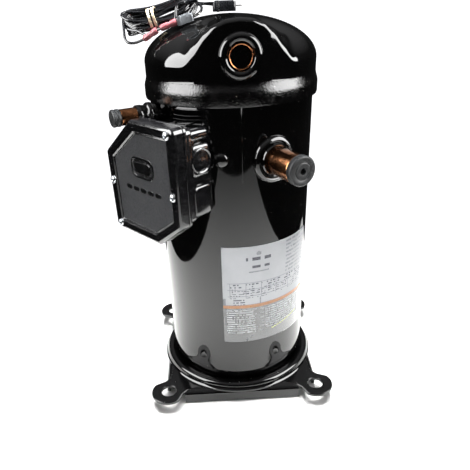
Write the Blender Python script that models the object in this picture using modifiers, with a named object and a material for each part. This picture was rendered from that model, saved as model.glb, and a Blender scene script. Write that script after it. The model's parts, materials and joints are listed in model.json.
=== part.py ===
"""A hermetic scroll compressor, built as an assembly of separate named pieces.

Frame: metres, +Z up, the origin on the shell's axis in the plane that the base stands on.
The front of the machine faces -Y. Angles round the shell are measured from +X, anticlockwise
seen from above, so the front is at -90 degrees.
"""

import math

import bmesh
import bpy
from mathutils import Matrix, Vector

MM = 0.001
GAP = 0.3 * MM  # the space kept between touching pieces
ROUND = 40  # the sides of every large circle, the same for all so that they nest

# Shell
TUBE_RADIUS = 89 * MM
TUBE_WALL = 3.5 * MM
TUBE_BORE = TUBE_RADIUS - TUBE_WALL
TUBE_LOW = 38 * MM
TUBE_HIGH = 379 * MM
CAP_SKIRT_RADIUS = 93.3 * MM
CAP_WALL_RADIUS = 91 * MM
CAP_WALL = 4 * MM
CAP_SKIRT_LOW = 366 * MM
CAP_STEP = 384 * MM
CAP_TOP = 441.5 * MM
CUP_RADIUS = TUBE_BORE - GAP
CUP_WALL = 4 * MM
CUP_TOP = 56 * MM
CUP_FLOOR = 0 * MM

# Cap nose, the flat-faced bulge that carries the discharge fitting
NOSE_ANGLE = -87
NOSE_HEIGHT = 410 * MM
NOSE_FACE = 91.2 * MM
NOSE_CREST = 441 * MM
NOSE_BELL = ((0, 0), (11, 1), (21, 4.5), (31, 10.5), (42, 16.5), (54, 21.5), (66, 29), (72, 41), (72, 60))

# Base plate
HOLE_SQUARE = 190.5 * MM
HOLE_RADIUS = 9.5 * MM
EAR_RADIUS = 22 * MM
PLATE_TOP = 20 * MM
PLATE_THICK = 4.5 * MM
PLATE_HALF = 101 * MM
RIDGE_RADIUS = 100 * MM
RIDGE_TOP = 29 * MM
FLANGE_HALF_LENGTH = 66 * MM
FLANGE_OUT = 99.5 * MM

# Fittings: angle round the shell and height
SUCTION = (-64.5, 312 * MM)
ACCESS = (-151.5, 356 * MM)
WELD = (-100.7, 315 * MM)
SUCTION_TUBE_RADIUS = 14.3 * MM
SUCTION_REACH = 131 * MM
DISCHARGE_TUBE_RADIUS = 11.1 * MM
DISCHARGE_REACH = 92.5 * MM
ACCESS_TUBE_RADIUS = 8 * MM
ACCESS_REACH = 131 * MM
TUBE_STOCK = 1.3 * MM
PLUG_STANDOFF = 2.2 * MM  # each plug stops short, so that its stub's end face stays open

# Terminal box
BOX_ANGLE = -138
BOX_LEFT, BOX_RIGHT = -62 * MM, 55 * MM
BOX_LOW, BOX_HIGH = 231 * MM, 357 * MM
BOX_FRONT = 130 * MM
COVER_BACK = 114 * MM
COVER_RIM = 3.5 * MM
BODY_INSET = 9 * MM
BODY_WALL = 3 * MM
TERMINAL_HEIGHT = 275 * MM
SCREW_PLACES = ((45, 350), (47, 291), (-55.5, 288), (-53, 238))

# Scroll set
BASE_CIRCLE = 3.1831 * MM
WRAP_WALL = 4.4 * MM
ORBIT = 5.2 * MM
WRAP_START, WRAP_END = 2.9, 19.9
WRAP_SIDES = 72  # closer together where the wall is wider, so the facets stay equally flat
SCROLL_FLOOR = 314.6 * MM
SCROLL_CEILING = 345 * MM

# Motor
STACK_LOW, STACK_HIGH = 105 * MM, 195 * MM
STATOR_BORE = 44.5 * MM
ROTOR_RADIUS = 44 * MM
SLOTS = 18
BARS = 12
SHAFT_SEAT = 15 * MM

# Lead hank lying on the cap
HANK_MIDDLE = Vector((-68.5 * MM, -4 * MM, 441.3 * MM))
HANK_TILT = math.radians(-15)
HANK_LENGTH = 96 * MM
HANK_WIDTH = 44 * MM
HANK_THICK = 21 * MM
LEAD_DIAMETER = 2.6 * MM
LEAD_ROUTE = (
    (-28.4, 14.4, 452.0),
    (-24, 19, 451.4),
    (-16, 21.5, 449.6),
    (-8, 19, 448),
    (-4, 12.5, 447.6),
    (-3.6, 3.5, 447.6),
)
PLUG_MIDDLE = Vector((-3.5 * MM, -6 * MM, 447.6 * MM))

PALETTE = {
    "black_enamel": ((0.012, 0.012, 0.013), 0.18, 0.0),
    "moulded_plastic": ((0.02, 0.02, 0.022), 0.35, 0.0),
    "copper": ((0.72, 0.34, 0.17), 0.35, 1.0),
    "plug_rubber": ((0.035, 0.036, 0.04), 0.6, 0.0),
    "zinc_steel": ((0.62, 0.63, 0.65), 0.3, 1.0),
    "cast_iron": ((0.16, 0.16, 0.165), 0.55, 1.0),
    "bare_steel": ((0.5, 0.5, 0.52), 0.35, 1.0),
    "lamination": ((0.28, 0.28, 0.3), 0.5, 1.0),
    "winding_copper": ((0.55, 0.2, 0.09), 0.4, 1.0),
    "cast_aluminium": ((0.7, 0.71, 0.72), 0.4, 1.0),
    "bearing_bronze": ((0.5, 0.36, 0.18), 0.4, 1.0),
    "label_film": ((0.75, 0.76, 0.78), 0.35, 0.0),
    "lead_jacket": ((0.015, 0.015, 0.016), 0.35, 0.0),
    "band_rubber": ((0.75, 0.66, 0.5), 0.6, 0.0),
    "sleeve_nylon": ((0.75, 0.22, 0.28), 0.4, 0.0),
    "clear_nylon": ((0.7, 0.7, 0.72), 0.25, 0.0),
}


def clear_scene():
    """Empties the scene and its collections."""
    for item in list(bpy.data.objects):
        bpy.data.objects.remove(item)
    for item in list(bpy.data.collections):
        bpy.data.collections.remove(item)


def collection(name, shown):
    """A collection of the scene; a hidden one holds cutters."""
    made = bpy.data.collections.new(name)
    bpy.context.scene.collection.children.link(made)
    made.hide_render = not shown
    return made


clear_scene()
PARTS = collection("scroll_compressor", True)
CUTTERS = collection("cutters", False)


def finish(name):
    """The material of that name from the palette."""
    if name in bpy.data.materials:
        return bpy.data.materials[name]
    colour, roughness, metallic = PALETTE[name]
    made = bpy.data.materials.new(name)
    made.use_nodes = True
    shader = made.node_tree.nodes["Principled BSDF"]
    shader.inputs["Base Color"].default_value = (*colour, 1)
    shader.inputs["Roughness"].default_value = roughness
    shader.inputs["Metallic"].default_value = metallic
    made.diffuse_color = (*colour, 1)
    return made


def smooth(mesh):
    """Shades a mesh smooth, with its sharp edges kept."""
    mesh.shade_smooth()
    mesh.set_sharp_from_angle(angle=math.radians(35))


def place(name, mesh, paint, frame):
    """Adds a mesh as a part, or as a cutter where paint is None."""
    part = bpy.data.objects.new(name, mesh)
    part.matrix_world = frame
    if paint is None:
        CUTTERS.objects.link(part)
        part.hide_render = True
        part.display_type = "WIRE"
    else:
        PARTS.objects.link(part)
        mesh.materials.append(finish(paint))
    return part


def turned(name, profile, paint, steps=36, frame=Matrix(), closed=True):
    """A turned solid about the frame's Z. The profile runs down its outer side."""
    mesh = bpy.data.meshes.new(name)
    points = [(radius, 0, height) for radius, height in profile]
    edges = [(i, i + 1) for i in range(len(points) - 1)]
    if closed:
        edges.append((len(points) - 1, 0))
    mesh.from_pydata(points, edges, [])
    part = place(name, mesh, paint, frame)
    screw = part.modifiers.new("Turn", "SCREW")
    screw.steps = steps
    screw.render_steps = steps
    screw.use_merge_vertices = True
    screw.merge_threshold = 0.00001
    screw.use_smooth_shade = False
    return part


def ring(name, inner, outer, low, high, paint, steps=36, frame=Matrix()):
    """A plain turned ring."""
    profile = [(inner, low), (inner, high), (outer, high), (outer, low)]
    return turned(name, profile, paint, steps, frame)


def disc(name, radius, low, high, paint, steps=24, frame=Matrix(), at=(0, 0)):
    """A plain cylinder between two heights of the frame."""
    mesh = bpy.data.meshes.new(name)
    shape = bmesh.new()
    centre = Matrix.Translation((at[0], at[1], (low + high) / 2))
    bmesh.ops.create_cone(
        shape,
        cap_ends=True,
        segments=steps,
        radius1=radius,
        radius2=radius,
        depth=high - low,
        matrix=centre,
    )
    shape.to_mesh(mesh)
    shape.free()
    smooth(mesh)
    return place(name, mesh, paint, frame)


def block(name, low, high, paint, frame=Matrix()):
    """A box between two corners of the frame."""
    mesh = bpy.data.meshes.new(name)
    shape = bmesh.new()
    size = [b - a for a, b in zip(low, high)]
    centre = [(a + b) / 2 for a, b in zip(low, high)]
    spread = Matrix.Translation(centre) @ Matrix.Diagonal((*size, 1))
    bmesh.ops.create_cube(shape, size=1, matrix=spread)
    shape.to_mesh(mesh)
    shape.free()
    return place(name, mesh, paint, frame)


def outline(name, loops, low, high, paint, frame=Matrix()):
    """An extruded flat outline: its first loop is the outside and the others are holes."""
    flat = bpy.data.curves.new(name, "CURVE")
    flat.dimensions = "2D"
    flat.fill_mode = "BOTH"
    flat.extrude = (high - low) / 2
    for loop in loops:
        spline = flat.splines.new("POLY")
        spline.points.add(len(loop) - 1)
        for point, (x, y) in zip(spline.points, loop):
            point.co = (x, y, 0, 1)
        spline.use_cyclic_u = True
    guide = bpy.data.objects.new(name + "_guide", flat)
    CUTTERS.objects.link(guide)
    mesh = bpy.data.meshes.new_from_object(
        guide.evaluated_get(bpy.context.evaluated_depsgraph_get())
    )
    bpy.data.objects.remove(guide)
    bpy.data.curves.remove(flat)
    mesh.name = name
    shape = bmesh.new()
    shape.from_mesh(mesh)
    bmesh.ops.remove_doubles(shape, verts=shape.verts, dist=0.000001)
    bmesh.ops.translate(shape, verts=shape.verts, vec=(0, 0, (low + high) / 2))
    bmesh.ops.recalc_face_normals(shape, faces=shape.faces)
    shape.to_mesh(mesh)
    shape.free()
    mesh.materials.clear()
    smooth(mesh)
    return place(name, mesh, paint, frame)


def boolean(part, operation, others):
    """Applies one live Boolean for each other piece, which becomes a hidden tool."""
    for other in others:
        modifier = part.modifiers.new(operation.title(), "BOOLEAN")
        modifier.operation = operation
        modifier.object = other
        modifier.solver = "EXACT"
    return part


def cut(part, *others):
    """Takes the other pieces out of the part."""
    return boolean(part, "DIFFERENCE", others)


def join(part, *others):
    """Adds the other pieces to the part."""
    return boolean(part, "UNION", others)


def radial(angle, height):
    """A frame on the shell's axis: X along the shell to the right, Y up, Z outwards."""
    a = math.radians(angle)
    outward = Vector((math.cos(a), math.sin(a), 0))
    right = Vector((-math.sin(a), math.cos(a), 0))
    frame = Matrix.Identity(4)
    for row in range(3):
        frame[row][0] = right[row]
        frame[row][1] = (0, 0, 1)[row]
        frame[row][2] = outward[row]
    return Matrix.Translation((0, 0, height)) @ frame


def circle(radius, steps, centre=(0, 0), start=0.0, turn=math.tau):
    """Points on a circle or, with turn, on part of one with both of its ends."""
    count = steps if turn == math.tau else steps + 1
    return [
        (
            centre[0] + radius * math.cos(start + turn * i / steps),
            centre[1] + radius * math.sin(start + turn * i / steps),
        )
        for i in range(count)
    ]


def rounded(corners, radius, steps=2):
    """A closed outline through the corners, each one rounded by an arc."""
    points = []
    count = len(corners)
    for i, corner in enumerate(corners):
        here = Vector(corner)
        back = (Vector(corners[i - 1]) - here).normalized()
        ahead = (Vector(corners[(i + 1) % count]) - here).normalized()
        half = back.angle(ahead) / 2
        reach = radius / math.tan(half)
        middle = here + (back + ahead).normalized() * (radius / math.sin(half))
        first = here + back * reach - middle
        last = here + ahead * reach - middle
        turn = first.angle_signed(last)
        for step in range(steps + 1):
            spoke = first.copy()
            spoke.rotate(Matrix.Rotation(-turn * step / steps, 2))
            points.append(tuple(middle + spoke))
    return points


def axis(name, point, parent=None):
    """An empty on a joint's axis, for the pieces that move with it."""
    made = bpy.data.objects.new(name, None)
    made.empty_display_size = 0.02
    PARTS.objects.link(made)
    made.matrix_world = Matrix.Translation(point)
    if parent is not None:
        ride(parent, made)
    return made


def ride(parent, *pieces):
    """Parents pieces to an empty and leaves them where they are."""
    bpy.context.view_layer.update()
    for piece in pieces:
        world = piece.matrix_world.copy()
        piece.parent = parent
        piece.matrix_parent_inverse = parent.matrix_world.inverted()
        piece.matrix_world = world


def hole(radius, fitting, near=0.06, far=0.14, steps=24):
    """A radial cutter for a fitting at its angle and height."""
    return disc("hole", radius, near, far, None, steps, radial(*fitting))


def shell_tube():
    """The rolled steel tube, with its holes for the fittings, weld and terminals."""
    tube = ring("shell_tube", TUBE_BORE, TUBE_RADIUS, TUBE_LOW, TUBE_HIGH, "black_enamel", ROUND)
    return cut(
        tube,
        hole(SUCTION_TUBE_RADIUS + 2.5 * MM, SUCTION),
        hole(ACCESS_TUBE_RADIUS + 1.5 * MM, ACCESS, steps=24),
        hole(5 * MM, WELD, steps=16),
        hole(20 * MM, (BOX_ANGLE, TERMINAL_HEIGHT)),
    )


def dome(outer, top, low):
    """The cap's outline from its middle down to its wall, for one surface."""
    return [
        (0, top),
        (outer * 0.24, top - 0.7 * MM),
        (outer * 0.53, top - 7.4 * MM),
        (outer * 0.75, top - 15.5 * MM),
        (outer * 0.90, top - 24.5 * MM),
        (outer * 0.98, top - 34 * MM),
        (outer, top - 43 * MM),
        (outer, low),
    ]


def top_cap():
    """The stamped cap: a dome with a flat-faced nose, and a skirt that laps the tube."""
    outside = dome(CAP_WALL_RADIUS, CAP_TOP, CAP_STEP + 3.5 * MM)
    outside += [
        (CAP_SKIRT_RADIUS, CAP_STEP - 2 * MM),
        (CAP_SKIRT_RADIUS, CAP_SKIRT_LOW),
        (0, CAP_SKIRT_LOW),
    ]
    cap = turned("top_cap", outside, "black_enamel", ROUND, closed=False)
    inside = dome(CAP_WALL_RADIUS - CAP_WALL, CAP_TOP - CAP_WALL, CAP_STEP)[::2]
    inside += [
        (TUBE_RADIUS + GAP, CAP_STEP),
        (TUBE_RADIUS + GAP, CAP_SKIRT_LOW - 5 * MM),
        (0, CAP_SKIRT_LOW - 5 * MM),
    ]
    hollow = turned("cap_hollow", inside, None, ROUND, closed=False)
    nose = nose_prism("nose", 0, 20 * MM, NOSE_FACE)
    throat = nose_prism("throat", CAP_WALL, 15 * MM, NOSE_FACE - CAP_WALL)
    join(cap, nose)
    return cut(cap, hollow, throat, hole(16.3 * MM, (NOSE_ANGLE, NOSE_HEIGHT)))


def nose_prism(name, inset, near, far):
    """The nose's bell outline run out along its own direction, kept inside the cap's wall."""
    right = [((x * MM - inset), NOSE_CREST - drop * MM - inset) for x, drop in NOSE_BELL[1:]]
    left = [(-x, z) for x, z in right[::-1]]
    bell = left + [(0, NOSE_CREST - inset)] + right
    prism = outline(name, [bell], near, far, None, radial(NOSE_ANGLE, 0))
    wall = disc(name + "_wall", CAP_WALL_RADIUS - inset + 0.7 * MM, 0.3, 0.5, None, ROUND)
    return boolean(prism, "INTERSECT", [wall])


def bottom_cup():
    """The stamped lower cup, which closes the tube and holds the oil."""
    bend = 22 * MM
    outside = [(0, CUP_FLOOR), (CUP_RADIUS - bend, CUP_FLOOR)]
    inside = [(CUP_RADIUS - bend, CUP_FLOOR + CUP_WALL), (0, CUP_FLOOR + CUP_WALL)]
    for step in range(1, 4):
        angle = math.radians(30 * step)
        across = CUP_RADIUS - bend + bend * math.sin(angle)
        up = CUP_FLOOR + bend - bend * math.cos(angle)
        outside.append((across, up))
        inner = bend - CUP_WALL
        inside.insert(
            0,
            (
                CUP_RADIUS - bend + inner * math.sin(angle),
                CUP_FLOOR + bend - inner * math.cos(angle),
            ),
        )
    outside.append((CUP_RADIUS, CUP_TOP))
    inside.insert(0, (CUP_RADIUS - CUP_WALL, CUP_TOP))
    profile = (outside + inside)[::-1]
    return turned("bottom_cup", profile, "black_enamel", ROUND, closed=False)


def plate_outline():
    """The base plate seen from above: four round ears joined by slightly hollow edges."""
    half = HOLE_SQUARE / 2
    points = []
    for quarter in range(4):
        turn = math.radians(90 * quarter)
        corner = circle(EAR_RADIUS, 7, (half, half), math.radians(-35), math.radians(160))
        waist = [(78 * MM, PLATE_HALF - 1 * MM), (60 * MM, PLATE_HALF - 2 * MM)]
        side = corner + waist + [(-x, y) for x, y in waist[::-1]]
        for x, y in side:
            points.append(
                (
                    x * math.cos(turn) - y * math.sin(turn),
                    x * math.sin(turn) + y * math.cos(turn),
                )
            )
    return points


def base_plate():
    """The pressed mounting plate: ears, down-turned flanges and a ridge round the shell."""
    web_low = PLATE_TOP - PLATE_THICK
    half = HOLE_SQUARE / 2
    bores = [circle(HOLE_RADIUS, 16, (sx * half, sy * half)) for sx in (-1, 1) for sy in (-1, 1)]
    plate = outline(
        "base_plate",
        [plate_outline(), circle(CUP_RADIUS + GAP, ROUND), *bores],
        web_low,
        PLATE_TOP,
        "black_enamel",
    )
    ridge = turned(
        "ridge",
        [
            (CUP_RADIUS + GAP, web_low + 1 * MM),
            (CUP_RADIUS + GAP, PLATE_TOP + 5 * MM),
            (RIDGE_RADIUS - 6 * MM, RIDGE_TOP),
            (RIDGE_RADIUS - 2 * MM, RIDGE_TOP - 0.5 * MM),
            (RIDGE_RADIUS, RIDGE_TOP - 3 * MM),
            (RIDGE_RADIUS, web_low + 1 * MM),
        ],
        None,
        ROUND,
    )
    join(plate, ridge)
    for quarter in range(4):
        flange = block(
            "flange",
            (-FLANGE_HALF_LENGTH, -FLANGE_OUT, 0),
            (FLANGE_HALF_LENGTH, -FLANGE_OUT + PLATE_THICK, PLATE_TOP - 2 * MM),
            None,
            Matrix.Rotation(math.radians(90 * quarter), 4, "Z"),
        )
        join(plate, flange)
    return plate


def stub(name, fitting, radius, root, reach, steps=24):
    """A copper stub tube that runs out of the shell."""
    return ring(name, radius - TUBE_STOCK, radius, root, reach, "copper", steps, radial(*fitting))


def plug(name, fitting, radius, reach, head):
    """A rubber plug with a spigot in the stub, a head over its end and a blind vent hole."""
    spigot = radius - TUBE_STOCK - GAP
    flange = radius + 0.6 * MM
    vent = radius * 0.17
    return turned(
        name,
        [
            (0, reach + head - 5 * MM),
            (vent, reach + head - 5 * MM),
            (vent, reach + head),
            (flange - 1.2 * MM, reach + head),
            (flange, reach + head - 1.2 * MM),
            (flange, reach + PLUG_STANDOFF),
            (spigot, reach + PLUG_STANDOFF),
            (spigot, reach - 12 * MM),
            (0, reach - 12 * MM),
        ],
        "plug_rubber",
        24,
        radial(*fitting),
        closed=False,
    )


def collar(name, fitting, bore, root, crest, steps=20):
    """A steel collar brazed on the shell round a stub. Its outer side is (radius, reach) pairs."""
    inner = bore + GAP
    return turned(
        name,
        [(inner, root), (inner, crest[0][1])] + crest + [(crest[-1][0], root)],
        "black_enamel",
        steps,
        radial(*fitting),
    )


def fittings():
    """The discharge, suction and access fittings with their plugs."""
    discharge = (NOSE_ANGLE, NOSE_HEIGHT)
    collar(
        "discharge_boss",
        discharge,
        DISCHARGE_TUBE_RADIUS,
        84 * MM,
        [(13 * MM, 95.4 * MM), (16 * MM, 95 * MM)],
    )
    boss_bead = turned(
        "boss_bead",
        [
            (15.5 * MM, NOSE_FACE + GAP),
            (15.5 * MM, 95.8 * MM),
            (17.5 * MM, 96.2 * MM),
            (19.2 * MM, 94.2 * MM),
            (19.7 * MM, NOSE_FACE + GAP),
        ],
        None,
        20,
        radial(*discharge),
    )
    join(bpy.data.objects["discharge_boss"], boss_bead)
    stub("discharge_tube", discharge, DISCHARGE_TUBE_RADIUS, 76 * MM, DISCHARGE_REACH, 24)
    stub("suction_tube", SUCTION, SUCTION_TUBE_RADIUS, 85.6 * MM, SUCTION_REACH)
    collar(
        "suction_collar",
        SUCTION,
        SUCTION_TUBE_RADIUS,
        86 * MM,
        [(15.7 * MM, 94.5 * MM), (16.4 * MM, 94 * MM)],
    )
    suction_bead = turned(
        "suction_bead",
        [
            (15.8 * MM, 86.5 * MM),
            (15.8 * MM, 93.5 * MM),
            (19 * MM, 95 * MM),
            (21.5 * MM, 93.6 * MM),
            (22.5 * MM, 90.4 * MM),
            (22.8 * MM, 86.5 * MM),
        ],
        None,
        20,
        radial(*SUCTION),
    )
    collar_part = join(bpy.data.objects["suction_collar"], suction_bead)
    cut(collar_part, disc("shell_face", TUBE_RADIUS + GAP, 0.25, 0.4, None, ROUND))
    stub("access_tube", ACCESS, ACCESS_TUBE_RADIUS, 84 * MM, ACCESS_REACH, 20)
    turned(
        "access_collar",
        [
            (ACCESS_TUBE_RADIUS + GAP, 86 * MM),
            (ACCESS_TUBE_RADIUS + GAP, 114 * MM),
            (9.6 * MM, 114 * MM),
            (9.6 * MM, 108 * MM),
            (9 * MM, 107 * MM),
            (9 * MM, 103 * MM),
            (11 * MM, 102 * MM),
            (11 * MM, 97 * MM),
            (9.2 * MM, 96 * MM),
            (9.2 * MM, 86 * MM),
        ],
        "black_enamel",
        20,
        radial(*ACCESS),
    )
    tools = {
        "suction_plug": plug("suction_plug", SUCTION, SUCTION_TUBE_RADIUS, SUCTION_REACH, 8 * MM),
        "access_plug": plug("access_plug", ACCESS, ACCESS_TUBE_RADIUS, ACCESS_REACH, 9 * MM),
    }
    spigot = DISCHARGE_TUBE_RADIUS - TUBE_STOCK - GAP
    tools["discharge_plug"] = turned(
        "discharge_plug",
        [
            (0, 95 * MM),
            (2.6 * MM, 95 * MM),
            (2.6 * MM, 98.5 * MM),
            (10 * MM, 98.5 * MM),
            (10.9 * MM, 97.6 * MM),
            (10.9 * MM, DISCHARGE_REACH + PLUG_STANDOFF),
            (spigot, DISCHARGE_REACH + PLUG_STANDOFF),
            (spigot, 80 * MM),
            (0, 80 * MM),
        ],
        "plug_rubber",
        24,
        radial(*discharge),
        closed=False,
    )
    for name, part in tools.items():
        ride(axis(name + "_axis", part.matrix_world.translation), part)


def plug_weld():
    """The domed weld that pins the bearing housing through the shell."""
    turned(
        "plug_weld",
        [
            (0, 91.6 * MM),
            (3.5 * MM, 91.2 * MM),
            (6.3 * MM, 89.9 * MM),
            (6.8 * MM, TUBE_RADIUS + GAP),
            (4.7 * MM, TUBE_RADIUS + GAP),
            (4.7 * MM, 86 * MM),
            (0, 86 * MM),
        ],
        "black_enamel",
        16,
        radial(*WELD),
        closed=False,
    )


def box_corners(inset):
    """The terminal box outline, a rectangle with two opposite corners cut off, drawn in by inset."""
    left, right = BOX_LEFT + inset, BOX_RIGHT - inset
    low, high = BOX_LOW + inset, BOX_HIGH - inset
    slack = inset * 0.42
    return [
        (left, low),
        (17 * MM - slack, low),
        (right, 259 * MM + slack),
        (right, high),
        (-12 * MM + slack, high),
        (left, 319 * MM - slack),
    ]


def terminal_box():
    """The moulded box: body, gasket, cover and cover screws, in a frame at the box's angle."""
    frame = radial(BOX_ANGLE, 0)
    shell = disc("box_shell_clearance", TUBE_RADIUS + 0.6 * MM, 0.2, 0.4, None, ROUND)
    cavity = outline(
        "box_cavity",
        [rounded(box_corners(BODY_INSET + BODY_WALL), 5 * MM)],
        66 * MM,
        120 * MM,
        None,
        frame,
    )
    cut(cavity, disc("box_back_wall", TUBE_RADIUS + 4 * MM, 0.19, 0.41, None, ROUND))
    body = outline(
        "terminal_box",
        [rounded(box_corners(BODY_INSET), 7 * MM)],
        71 * MM,
        COVER_BACK - 2.2 * MM,
        "moulded_plastic",
        frame,
    )
    flange = outline(
        "box_flange",
        [rounded(box_corners(4 * MM), 6 * MM)],
        COVER_BACK - 6.5 * MM,
        COVER_BACK - 2.2 * MM,
        None,
        frame,
    )
    ribs = [
        block(
            "box_rib",
            (40 * MM, low * MM, 78 * MM),
            (51.5 * MM, high * MM, 108 * MM),
            None,
            frame,
        )
        for low, high in ((306, 334), (247 + 14, 281))
    ]
    knockout = disc(
        "box_knockout",
        12.5 * MM,
        40 * MM,
        53.5 * MM,
        None,
        28,
        Matrix(frame)
        @ Matrix.Translation((0, 319 * MM, 94 * MM))
        @ Matrix.Rotation(math.radians(90), 4, "Y"),
    )
    lid_hole = outline(
        "box_top_knockout",
        [[(14 * MM, 85 * MM), (-4 * MM, 96 * MM), (14 * MM, 107 * MM), (32 * MM, 96 * MM)]],
        BOX_HIGH - BODY_INSET - 1.2 * MM,
        BOX_HIGH,
        None,
        Matrix(frame)
        @ Matrix(((1, 0, 0, 0), (0, 0, 1, 0), (0, 1, 0, 0), (0, 0, 0, 1))),
    )
    join(body, flange, *ribs, knockout)
    opening = disc("fence_opening", 28.5 * MM, 80 * MM, 98 * MM, None, 32, radial(BOX_ANGLE, TERMINAL_HEIGHT))
    cut(body, cavity, shell, opening, lid_hole)
    gasket = outline(
        "box_gasket",
        [
            rounded(box_corners(4.5 * MM), 6 * MM),
            rounded(box_corners(BODY_INSET + BODY_WALL), 5 * MM)[::-1],
        ],
        COVER_BACK - 1.9 * MM,
        COVER_BACK - GAP,
        "plug_rubber",
        frame,
    )
    cover = outline(
        "terminal_cover",
        [rounded(box_corners(0), 6 * MM)],
        COVER_BACK,
        BOX_FRONT - 1.5 * MM,
        "moulded_plastic",
        frame,
    )
    cover_rim = outline(
        "cover_rim",
        [
            rounded(box_corners(3 * MM), 6 * MM),
            rounded(box_corners(16 * MM), 4 * MM)[::-1],
        ],
        BOX_FRONT - 4 * MM,
        BOX_FRONT,
        None,
        frame,
    )
    cover_hollow = outline(
        "cover_hollow",
        [rounded(box_corners(BODY_INSET + BODY_WALL), 5 * MM)],
        COVER_BACK - 5 * MM,
        BOX_FRONT - 4.5 * MM,
        None,
        frame,
    )
    join(cover, cover_rim)
    cut(cover, cover_hollow)
    cover_axis = axis("cover_axis", frame @ Vector((0, 0.294, COVER_BACK)))
    moving = [cover]
    for number, (right, up) in enumerate(SCREW_PLACES, 1):
        spot = (right * MM, up * MM)
        bore = disc("screw_bore", 2.7 * MM, COVER_BACK - 12 * MM, 140 * MM, None, 16, frame, spot)
        cut(cover, bore)
        cut(body, bore)
        cut(gasket, bore)
        screw = turned(
            f"cover_screw_{number}",
            [
                (0, BOX_FRONT + 2 * MM),
                (3 * MM, BOX_FRONT + 1.6 * MM),
                (4.2 * MM, BOX_FRONT + GAP),
                (2.2 * MM, BOX_FRONT + GAP),
                (2.2 * MM, COVER_BACK - 7 * MM),
                (0, COVER_BACK - 7 * MM),
            ],
            "zinc_steel",
            12,
            frame @ Matrix.Translation((*spot, 0)),
            closed=False,
        )
        moving.append(screw)
    ride(cover_axis, *moving)


def terminals():
    """The hermetic terminal in the shell wall, its three pins, the fence and the earth screw."""
    frame = radial(BOX_ANGLE, TERMINAL_HEIGHT)
    block_part = turned(
        "terminal_block",
        [
            (0, 93 * MM),
            (14 * MM, 93 * MM),
            (16 * MM, 91 * MM),
            (19.4 * MM, 91 * MM),
            (19.4 * MM, 87 * MM),
            (16.5 * MM, 83 * MM),
            (0, 83 * MM),
        ],
        "bare_steel",
        32,
        frame,
        closed=False,
    )
    ring("terminal_fence", 24 * MM, 26.5 * MM, 90.5 * MM, 101 * MM, "black_enamel", 32, frame)
    for number in range(3):
        angle = math.radians(90 + 120 * number)
        spot = (8 * MM * math.cos(angle), 8 * MM * math.sin(angle))
        cut(block_part, disc("pin_seat", 1.9 * MM, 70 * MM, 110 * MM, None, 12, frame, spot))
        disc(f"terminal_pin_{number + 1}", 1.6 * MM, 76 * MM, 105 * MM, "bare_steel", 12, frame, spot)
    turned(
        "ground_screw",
        [
            (0, 100 * MM),
            (4 * MM, 99.4 * MM),
            (4.6 * MM, 96 * MM),
            (2 * MM, 96 * MM),
            (2 * MM, 92.2 * MM),
            (0, 92.2 * MM),
        ],
        "zinc_steel",
        12,
        radial(BOX_ANGLE, TERMINAL_HEIGHT) @ Matrix.Translation((0, 45 * MM, 2.5 * MM)),
        closed=False,
    )


def nameplate():
    """The thin data plate bent round the front of the shell."""
    inner, outer = TUBE_RADIUS + 0.3 * MM, TUBE_RADIUS + 0.8 * MM
    first, last = math.radians(-103), math.radians(-25)
    arc = circle(outer, 20, (0, 0), first, last - first)
    back = circle(inner, 20, (0, 0), first, last - first)[::-1]
    outline("nameplate", [arc + back], 88 * MM, 218 * MM, "label_film")


def stator():
    """The laminated stator with its slots, and the winding that fills them."""
    slot_half = 4.2 * MM
    outer = circle(TUBE_BORE - GAP, ROUND)
    pitch = math.tau / SLOTS
    bore = []
    for slot in range(SLOTS):
        middle = slot * pitch
        mouth = math.asin(slot_half / STATOR_BORE)
        cheeks = ((STATOR_BORE, -1), (67 * MM, -1), (67 * MM, 1), (STATOR_BORE, 1))
        for radius, side in cheeks:
            across = side * slot_half
            along = math.sqrt(radius**2 - slot_half**2)
            bore.append(
                (
                    along * math.cos(middle) - across * math.sin(middle),
                    along * math.sin(middle) + across * math.cos(middle),
                )
            )
        gap_turn = pitch - 2 * mouth
        bore += circle(STATOR_BORE, 3, (0, 0), middle + mouth, gap_turn)[1:-1]
    core = outline("stator_core", [outer, bore[::-1]], STACK_LOW, STACK_HIGH, "lamination")
    for quarter in range(4):
        turn = Matrix.Rotation(math.radians(45 + 90 * quarter), 4, "Z")
        flat = block("oil_return", (82 * MM, -14 * MM, 0.09), (90 * MM, 14 * MM, 0.21), None, turn)
        cut(core, flat)
    crown = [
        (50 * MM, 0),
        (51 * MM, 19 * MM),
        (71 * MM, 19 * MM),
        (75 * MM, 13 * MM),
        (75 * MM, 0),
    ]
    up = Matrix.Translation((0, 0, STACK_HIGH + GAP))
    winding = turned("stator_winding", crown, "winding_copper", 32, up)
    lower = turned(
        "lower_crown",
        [(radius, -height) for radius, height in crown][::-1],
        None,
        32,
        Matrix.Translation((0, 0, STACK_LOW - GAP)),
    )
    side = slot_half - GAP
    bars = [
        block(
            "slot_bar",
            (51.5 * MM, -side, STACK_LOW - 6 * MM),
            (66.4 * MM, side, STACK_HIGH + 6 * MM),
            None,
            Matrix.Rotation(slot * pitch, 4, "Z"),
        )
        for slot in range(SLOTS)
    ]
    join(winding, *bars, lower)


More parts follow.
